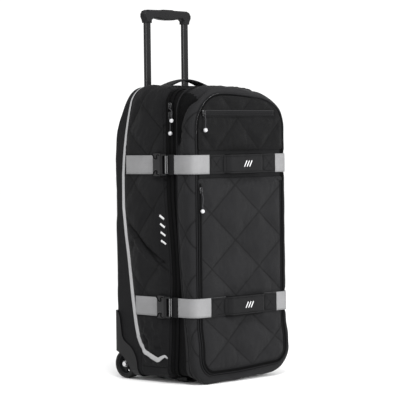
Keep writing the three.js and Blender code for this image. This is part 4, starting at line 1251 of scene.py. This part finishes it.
def make_rim_piping(name, y, sizes, lean, body):
    """A thin piping all round, beside the zip."""
    x, z = outline(*sizes(y))
    path = lean(evenly(xyz(x, y, z), 0.006))
    piece = tube(name, path, 0.0017, "tough", 7, closed=True, up=(0, 1, 0))
    finish_piece(piece, body)


def make_hinge():
    """The fabric that joins the body to the lid along the right side, where there is no zip."""
    z = np.linspace(ZIP_BOTTOM + ZIP_LOW_R, ZIP_TOP - ZIP_HIGH_R, 140)
    share = np.linspace(0, 1, 13)
    start = lean_body(xyz(HALF_WIDTH - 0.0078, -0.0395, z))
    end = lean_lid(xyz(HALF_WIDTH - 0.0078, -0.0640, z))
    grid = start[:, None] + (end - start)[:, None] * share[None, :, None]
    grid[..., 0] -= (0.0020 + 0.0008 * soft_noise(z, z * 0, 0.02, 97))[:, None] * np.sin(math.pi * share)[None]
    piece = shell("hinge_fabric", grid, 0.0014, grid[..., 1:], "plain")
    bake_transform(piece)


make_gusset()
make_lid_front()
make_hinge()
for level in LEVELS:
    make_pocket(level)
make_front_piping()
make_rim_piping("zip_edge_piping_body", -0.0405, body_sizes, lean_body, "bag_body")
make_rim_piping("zip_edge_piping_lid", -0.0825, lid_sizes, lean_lid, "lid")


# ------------------------------------------------------------------ zips
def zip_ring(depth):
    """x and z round the main zip's line, open along the hinge, at a depth inside the outline."""
    x, z = outline(HALF_WIDTH - depth, ZIP_BOTTOM + depth, ZIP_TOP - depth, ZIP_LOW_R - depth, ZIP_HIGH_R - depth)
    start = STARTS[3]
    order = np.concatenate([np.arange(start, len(x)), np.arange(0, STARTS[2])])
    return np.column_stack([x[order], z[order]])


def turned_out(ways):
    """Directions a quarter turn from ways in the x-z plane; ways may be x and z alone."""
    return unit(xyz(ways[:, -1], 0, -ways[:, 0]))


def ring_normals(path):
    return turned_out(np.gradient(path, axis=0))


def make_main_zip():
    """The two tapes, and their teeth, which are half a step apart so that they mesh."""
    x, z = evenly(zip_ring(0.0052), 0.004).T
    lean = 0.8 * body_lean(z)
    pitch = 0.0019
    for name, body, sign, gap in (("body", "bag_body", 1, 0.0002), ("lid", "lid", -1, 0.0005)):
        near, far = ZIP_Y + sign * gap, ZIP_Y + sign * 0.013
        path = slump(xyz(x, (near + far) / 2 - lean, z))
        tape = ribbon(f"main_zip_tape_{name}", path, ring_normals(path), abs(far - near), 0.0012, "zip_tape", 3)
        finish_piece(tape, body, [f"main_zip_{name}_tape"])
        spots, ways = walk(slump(xyz(x, near - lean, z)), pitch)
        lift = ring_normals(spots)
        spots = spots + lift * 0.0014 + np.array([0, sign * 0.0008, 0])
        if name == "lid":
            spots = spots + unit(ways) * pitch / 2
        piece = small_boxes(f"main_zip_teeth_{name}", spots, np.broadcast_to([0, 1, 0], spots.shape), lift,
                            (0.0030, 0.0012, 0.0014), "zip_tape")
        finish_piece(piece, body)


def coil_zip(name, path, reverse=False, width=0.011):
    """A coil zip lying on the front, with a welt along each edge; path is x and z.
    A reverse zip shows only the cloth back of its tape and one fine line."""
    points = slump(xyz(path[:, 0], FRONT - 0.0004, path[:, 1]))
    tape = ribbon(f"{name}_tape", points, [0, -1, 0], width, 0.0008, "plain" if reverse else "zip_tape", 3)
    finish_piece(tape, "lid")
    for k, sign in enumerate((-1, 1)):
        edge = points + ring_normals(path) * sign * width * 0.47
        welt = tube(f"{name}_welt_{k + 1}", edge, 0.0013, "tough", 7, up=(0, 1, 0))
        finish_piece(welt, "lid")
    if reverse:
        looks = (0.0072, 0.0007, "seam"), (0.0, 0.0005, "zip_tape"), (-0.012, 0.0005, "zip_tape")
        for k, (shift, radius, look) in enumerate(looks):
            line = points + np.array([0, -0.0007, shift])
            finish_piece(tube(f"{name}_line_{k + 1}", line, radius, look, 6, up=(0, 1, 0)), "lid")
        return
    spots, ways = walk(points, 0.0015)
    across = turned_out(ways)
    for k, sign in enumerate((-1, 1)):
        row = spots + across * sign * 0.0012 + np.array([0, -0.0008, 0])
        coil = small_boxes(f"{name}_coil_{k + 1}", row, across + 0.35 * sign * unit(ways),
                           np.broadcast_to([0, -1, 0], row.shape), (0.0024, 0.0009, 0.0011), "zip_tape")
        finish_piece(coil, "lid")


def make_pocket_zips():
    """The upper pocket's straight zip, and the lower pocket's, down its left side and round its foot."""
    coil_zip("upper_pocket_zip", evenly([(-0.150, UPPER_ZIP_Z), (0.130, UPPER_ZIP_Z)], 0.01), reverse=True)
    half, bottom, _, low_r, _ = POCKETS["lower"]
    inset = LOWER_ZIP_INSET
    path = rounded_path(half - inset, bottom + inset, 0.75, low_r - inset, 0.02, 0.005)
    track = path[(path[:, 1] < 0.531) & ((np.abs(path[:, 0]) > 0.14) | (path[:, 1] < 0.06))]
    x, z = track.T
    order = np.argsort(np.where(x < -0.14, -z, np.where(x > 0.14, z + 2, x + 1)))
    coil_zip("lower_pocket_zip", track[order])


def make_slider(name):
    """A moulded slider: a waisted body over the zip, a bridge, and the eye for the cord."""
    _, body, turned = PULLS[name]
    origin, axes = slider_place(name, turned)
    waist = [(-4.2, 8), (4.2, 8), (6.0, 4.5), (5.6, 0), (4.2, -4), (4.6, -8), (-4.6, -8), (-4.2, -4), (-5.6, 0),
             (-6.0, 4.5)]
    lower = prism(f"{name}_slider_plate", "y", np.array(waist) / 1000, -0.0044, -0.0019, "slider", 0.0008)
    arch = smooth_curve(np.array([
        (0, -3.6, 6.2), (0, -6.2, 5.4), (0, -7.2, 2.5), (0, -7.4, -2.0), (0, -6.6, -5.2), (0, -3.8, -6.6),
    ]) / 1000, 4)
    bridge = tube(f"{name}_slider_bridge", arch, 0.0013, "slider", 8, up=(1, 0, 0))
    angle = np.linspace(0, 2 * math.pi, 17)[:-1]
    loop = xyz(0, -0.0072 + 0.0017 * np.cos(angle), -0.0050 + 0.0022 * np.sin(angle))
    eye = tube(f"{name}_slider_eye", loop, 0.0007, "slider", 6, closed=True, up=(1, 0, 0))
    to_place = Matrix([[*axes[:, k], origin[k]] for k in range(3)] + [[0, 0, 0, 1]])
    for part in (lower, bridge, eye):
        part.data.transform(to_place)
        finish_piece(part, body)
    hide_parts(f"{name}_slider")


make_main_zip()
make_pocket_zips()
for pull in PULLS:
    make_slider(pull)


# ------------------------------------------------------------------ webbing
def fold_noise(path, seed, size=0.0006):
    length = lengths(path)
    return size * soft_noise(length, np.zeros(len(length)), 0.012, seed)


def clear_of(path, out, *pieces):
    """The path of a band, moved out wherever the fabric would stand through it."""
    out = np.broadcast_to(np.asarray(out, float), path.shape)
    lift = np.zeros(len(path))
    for shift in np.linspace(-STRAP_HALF, STRAP_HALF, 7):
        under = path + np.array([0, 0, shift])
        lift = np.maximum(lift, np.sum((lay_on(under, out, *pieces) - under) * out, axis=1))
    return path + out * calmed(np.clip(lift, 0, 0.004), 2)[:, None]


def make_side_strap(level, name, sign):
    """The webbing from the side seam to the buckle."""
    low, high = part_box(f"side_strap_{level}_{name}")
    y = np.arange(high.y + 0.004, low.y - 0.002, -0.004)
    path = xyz(sign * (WEB_X - WEB / 2), y, STRAP_Z[level])
    path[:, 0] += sign * (0.0002 + fold_noise(path, 71 + sign, 0.0004))
    path = clear_of(path, [sign, 0, 0], f"side_fabric_{name}")
    piece = ribbon(f"side_webbing_{level}_{name}", path, [sign, 0, 0], 2 * STRAP_HALF, WEB, "grey_web", 9, 0.0004)
    finish_piece(piece, "bag_body", [f"side_strap_{level}_{name}"])


def front_strap_path(level):
    """The webbing's middle, from the left plug across the front to the right buckle."""
    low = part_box(f"buckle_plug_{level}_left")[0]
    radius = STRAP_TURN
    y = FRONT - 0.002 - WEB / 2

    def arc(centre, start):
        return [(centre + radius * math.cos(a), y + radius + radius * math.sin(a))
                for a in np.radians(np.linspace(start, start + 90, 9))]

    points = [(-WEB_X, low.y + 0.002), *arc(-WEB_X + radius, 180), *arc(WEB_X - radius, 270), (WEB_X, ZIP_Y - 0.001)]
    return xyz(*evenly(points, 0.005).T, STRAP_Z[level])


def flat_normals(path):
    """Directions out of a level path, to its right."""
    along = np.gradient(path, axis=0)
    return unit(xyz(along[:, 1], -along[:, 0], 0))


def make_front_strap(level):
    """The webbing across the front, its turned end in the left plug, and the keeper beside that."""
    z = STRAP_Z[level]
    path = front_strap_path(level)
    out = flat_normals(path)
    path = path - out * WEB / 2 + out * np.abs(fold_noise(path, 81))[:, None]
    path = clear_of(path, out, "lid_side_fabric", "lid_front_fabric", "lower_pocket_fabric")
    piece = ribbon(f"front_webbing_{level}", path, out, 2 * STRAP_HALF, WEB, "grey_web", 9, 0.0004)
    finish_piece(piece, "lid", [f"front_strap_{level}"])
    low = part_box(f"buckle_plug_{level}_left")[0]
    turn = [(-0.1880, 0.0004), (-0.1925, -0.0002), (-0.1954, 0.0016), (-0.1954, 0.0042), (-0.1905, 0.0062)]
    loop = smooth_curve([(x, low.y + y, z) for x, y in turn], 4)
    wrapped = ribbon(f"buckle_webbing_{level}_left", loop, flat_normals(loop), 2 * STRAP_HALF - 0.003, 0.0012,
                     "grey_web", 9)
    finish_piece(wrapped, "lid")
    wrap = evenly([(-0.1865, low.y - 0.001, z), (-0.1865, low.y - 0.020, z)], 0.003)
    keeper = ribbon(f"keeper_{level}_left", wrap, [-1, 0, 0], 2 * STRAP_HALF + 0.003, 0.0022, "black_web", 7)
    finish_piece(keeper, "lid")


def make_buckle_prongs(level):
    """The curved slots that show a side-release buckle's two spring arms, above and below: near-black tubes as painted
    shade in the slots, each with a pale line beside it as a painted highlight on the arm's edge.
    """
    low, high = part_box(f"buckle_socket_{level}_left")
    middle, half = (low.z + high.z) / 2, (high.z - low.z) / 2
    u, v = np.array([(0.02, 0.90), (0.16, 0.78), (0.26, 0.60), (0.46, 0.50), (0.64, 0.56), (0.60, 0.74),
                     (0.76, 0.86), (0.94, 0.84)]).T
    for k, side in enumerate((1, -1)):
        path = smooth_curve(xyz(low.x - 0.0003, high.y + (low.y - high.y) * u, middle + side * v * half), 4)
        slot = tube(f"buckle_arm_{level}_{k + 1}", path, 0.0017, "zip_tape", 8, up=(1, 0, 0))
        finish_piece(slot, "bag_body")
        beside = path + np.array([0.0004, 0.0009, -side * 0.0018])
        edge = tube(f"buckle_arm_highlight_{level}_{k + 1}", beside, 0.0008, "edge", 6, up=(1, 0, 0))
        finish_piece(edge, "bag_body")


# Half the handle's length, and how far from its middle its arch and its crown end.
HANDLE_HALF, HANDLE_ARCH, HANDLE_CROWN = 0.127, 0.078, 0.056
HANDLE_BASE = FRONT - 0.002 - WEB - 0.0003


def make_carry_handle(level):
    """Flat sewn ends and a padded arch, with piped edges, stitching and a pale mark."""
    z = STRAP_Z[level]
    x = np.linspace(-HANDLE_HALF, HANDLE_HALF, 171)
    lift = smoothstep(HANDLE_ARCH - np.abs(x), 0, HANDLE_ARCH - HANDLE_CROWN)
    inner = HANDLE_BASE - 0.008 * lift
    outer = inner - WEB - 0.0035 * lift - 0.0018 * smoothstep(0.0765 - np.abs(x), 0, 0.0015)
    around = np.linspace(0, 2 * math.pi, 33)[:-1]
    flat, tall = (np.sign(part) * np.abs(part) ** 0.35 for part in (np.cos(around), np.sin(around)))
    middle, half = (inner + outer)[:, None] / 2, (inner - outer)[:, None] / 2
    wave = 0.0005 * soft_noise(x[:, None], tall[None] * 0.03, 0.02, 91) * (flat < 0)
    band = loft(f"carry_band_{level}", xyz(x[:, None], middle + half * flat + wave, z + STRAP_HALF * tall), "black_web")
    finish_piece(band, "lid", [f"carry_handle_{level}"])
    for k, edge in enumerate((-1, 1)):
        path = xyz(x, middle[:, 0] - 0.0006, z + edge * (STRAP_HALF - 0.0004))[np.abs(x) < HANDLE_ARCH - 0.004]
        finish_piece(tube(f"carry_piping_{level}_{k + 1}", path, 0.0021, "zip_tape", 8), "lid")
    make_handle_marks(level, z, lambda value: np.interp(value, x, outer) - 0.0001)


def make_handle_marks(level, z, face):
    """Stitching on the sewn ends and along the arch, a slit at each end of it, and three pale bars.
    face gives the handle's front, as y, at an x."""
    rows = []
    for sign in (-1, 1):
        a, b = sign * (HANDLE_HALF - 0.004), sign * (HANDLE_ARCH + 0.004)
        top, bottom = z + STRAP_HALF - 0.005, z - STRAP_HALF + 0.005
        corners = [(a, bottom), (a, top), (b, top), (b, bottom), (a, bottom)]
        rows += [corners, [(a, bottom), (b, top)], [(a, top), (b, bottom)]]
        rows.append([(sign * 0.070, bottom + 0.002), (sign * 0.070, top - 0.002)])
    for edge in (-1, 1):
        rows.append([(side * HANDLE_ARCH, z + edge * (STRAP_HALF - 0.005)) for side in (-1, 1)])
    spots, ways = [], []
    for row in rows:
        px, pz = evenly(row, 0.004).T
        spot, way = walk(xyz(px, face(px), pz), 0.0042)
        spots.append(spot)
        ways.append(way)
    spots = np.concatenate(spots)
    outward_way = np.broadcast_to([0, -1, 0], spots.shape)
    stitching = small_boxes(f"carry_stitching_{level}", spots, np.concatenate(ways), outward_way,
                            (0.0034, 0.0011, 0.0006), "zip_tape")
    finish_piece(stitching, "lid")
    for k, sign in enumerate((-1, 1)):
        at = xyz(sign * 0.0778, face(sign * 0.0778) - 0.0001, z + np.linspace(-0.019, 0.019, 7))
        slit = ribbon(f"carry_slit_{level}_{k + 1}", at, [0, -1, 0], 0.0022, 0.0004, "zip_tape", 3)
        finish_piece(slit, "lid")
    rise = np.linspace(0, 0.010, 4)
    for k in range(3):
        x = -0.010 + 0.010 * k + rise
        mark = xyz(x, face(x) - 0.0002, z - 0.008 + rise * 1.6)
        bar = ribbon(f"carry_mark_{level}_{k + 1}", mark, [0, -1, 0], 0.0032, 0.0004, "mark", 3)
        finish_piece(bar, "lid")


for level in LEVELS:
    for name, sign in SIDES:
        make_side_strap(level, name, sign)
    make_front_strap(level)
    make_buckle_prongs(level)
    make_carry_handle(level)


def make_top_handle():
    """The grab handle over the top, narrower where it arches, with a rolled edge on each side."""
    low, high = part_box("top_handle")
    x = np.linspace(low.x, high.x, 61)
    reach = np.maximum(0, np.cos(math.pi / 2 * np.minimum(np.abs(x) / 0.081, 1)))
    z = BODY_TOP + 0.0012 + 0.019 * reach ** 1.1
    path = xyz(x, (low.y + high.y) / 2, z)
    width = 0.038 - 0.010 * reach ** 2
    piece = ribbon("top_grab_handle", path, [0, 0, 1], width, 0.0022, "black_web", 9, 0.0012)
    finish_piece(piece, "bag_body", ["top_handle"])
    for k, sign in enumerate((-1, 1)):
        edge = path + xyz(0, sign * width / 2, -0.0002)
        roll = tube(f"top_grab_edge_{k + 1}", edge, 0.0018, "black_web", 8, up=(0, 1, 0))
        finish_piece(roll, "bag_body")


make_top_handle()


def make_button_spring():
    """The coil spring under the release button, squeezed as the button goes down."""
    low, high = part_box("button_spring")
    wire = 0.0006
    turn = np.linspace(0, 12 * math.pi, 145)
    radius = (high.x - low.x) / 2 - wire
    path = xyz((low.x + high.x) / 2 + radius * np.cos(turn), (low.y + high.y) / 2 + radius * np.sin(turn),
               np.linspace(low.z + wire, high.z - wire, len(turn)))
    spring = finish_piece(tube("release_spring", path, wire, "steel", 8), "trolley_handle", ["button_spring"])
    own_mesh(spring)


make_button_spring()


# ------------------------------------------------------------------ wheels
def make_wheel(name, sign):
    """A grooved tyre, and a spoked hub with six round windows."""
    centre = (sign * WHEEL_X, WHEEL_Y, WHEEL_R)
    body = f"wheel_{name}"
    r, half = WHEEL_R - 0.00005, 0.017
    crown = [(r - 0.0030 * abs(t) ** 3.2, half * t) for t in np.linspace(-0.86, 0.86, 23)]
    groove = [(radius - 0.0007 * math.exp(-((abs(x) - 0.0065) / 0.0007) ** 2), x) for radius, x in crown]
    wall = [(r - 0.0045, 0.0166), (r - 0.0070, 0.0169), (r - 0.0088, 0.0150), (r - 0.0103, 0.0132)]
    profile = [(a, -b) for a, b in wall[::-1]] + groove + wall
    tyre = lathe(f"tyre_tread_{name}", profile, centre, "rubber", 96)
    finish_piece(tyre, body, [f"tyre_{name}"])
    hub_half = [(0.0080, 0.0128), (0.0112, 0.0130), (0.0122, 0.0118), (0.0132, 0.0050), (0.0142, 0.0026),
                (0.0236, 0.0026), (0.0246, 0.0044), (0.0252, 0.0108), (0.0260, 0.0122), (0.0278, 0.0122)]
    hub = lathe(f"hub_wheel_{name}", [(a, -b) for a, b in hub_half] + hub_half[::-1], centre, "hub")
    work = bmesh.new()
    for k in range(6):
        angle = math.radians(60 * k + 30)
        spot = Vector((centre[0], centre[1] + 0.0190 * math.cos(angle), centre[2] + 0.0190 * math.sin(angle)))
        place = Matrix.Translation(spot) @ Matrix.Rotation(math.pi / 2, 4, "Y")
        bmesh.ops.create_cone(
            work, cap_ends=True, segments=20, radius1=0.0046, radius2=0.0046, depth=0.06, matrix=place)
    cut_with(hub, cutter_from(work))
    hub.data.set_sharp_from_angle(angle=math.radians(40))
    finish_piece(hub, body, [f"wheel_hub_{name}"])


for name, sign in SIDES:
    make_wheel(name, sign)


# ------------------------------------------------------------------ carried-over CAD pieces
CAD_LOOKS = {
    "backboard": "board", "back_lining": "lining", "guide_frame": "aluminium", "handle_bezel": "plastic",
    "slide_tube_left": "aluminium", "slide_tube_right": "aluminium", "grip": "grip", "release_button": "plastic",
    "foot_bar": "plastic",
}
CAD_LOOKS.update({f"wheel_{part}_{name}": look for name, _ in SIDES
                  for part, look in (("housing", "plastic"), ("bearing", "steel"), ("axle", "steel"))})
CAD_LOOKS.update({pattern.format(level): look for level in LEVELS for pattern, look in (
    ("buckle_socket_{}_left", "buckle"), ("buckle_{}_right", "plastic"), ("buckle_plug_{}_left", "plastic"))})
ROUNDING = {"grip": 0.0016, "handle_bezel": 0.0012, "foot_bar": 0.0015, "release_button": 0.0006}
for node, look in CAD_LOOKS.items():
    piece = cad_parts[node]
    piece.data.materials.clear()
    piece.data.materials.append(MATERIALS[look])
    if node in ROUNDING or "buckle" in node or "housing" in node:
        rounded(piece, ROUNDING.get(node, 0.0007))


# ------------------------------------------------------------------ floor and light
def make_stage():
    """A plain pale floor, an even white surround and three soft lamps."""
    shade = Shade("studio_floor", Roughness=0.9, Specular_IOR_Level=0.1)
    shade.colour((0.9, 0.9, 0.9), shade.span(shade.noise(3, 3), 0.3, 0.7, 0.99, 1.01))
    MATERIALS["floor"] = shade.material
    x, y = np.meshgrid(np.linspace(-20, 20, 3), np.linspace(-20, 20, 3), indexing="ij")
    floor = make_object("floor", xyz(x, y, -0.0004), grid_faces(3, 3), "floor")
    world = bpy.data.worlds.new("studio")
    bpy.context.scene.world = world
    world.use_nodes = True
    background = world.node_tree.nodes["Background"]
    background.inputs["Color"].default_value = (1, 1, 1, 1)
    background.inputs["Strength"].default_value = 1.12
    lamps = {  # place, aim, size and power
        "key": ((0.5, -3.2, 0.9), (0, 0, 0.40), 1.4, 112),
        "left": ((-3.4, -0.2, 1.3), (0, 0, 0.45), 1.2, 14),
        "high": ((-1.5, -1.7, 2.7), (0, 0, 0.40), 0.9, 62),
    }
    for name, (place, aim, size, power) in lamps.items():
        light = bpy.data.lights.new(name, "AREA")
        light.energy = power
        light.size = size
        lamp = add_object(name, light)
        lamp.location = place
        lamp.rotation_euler = (Vector(aim) - Vector(place)).to_track_quat("-Z", "Y").to_euler()


make_stage()
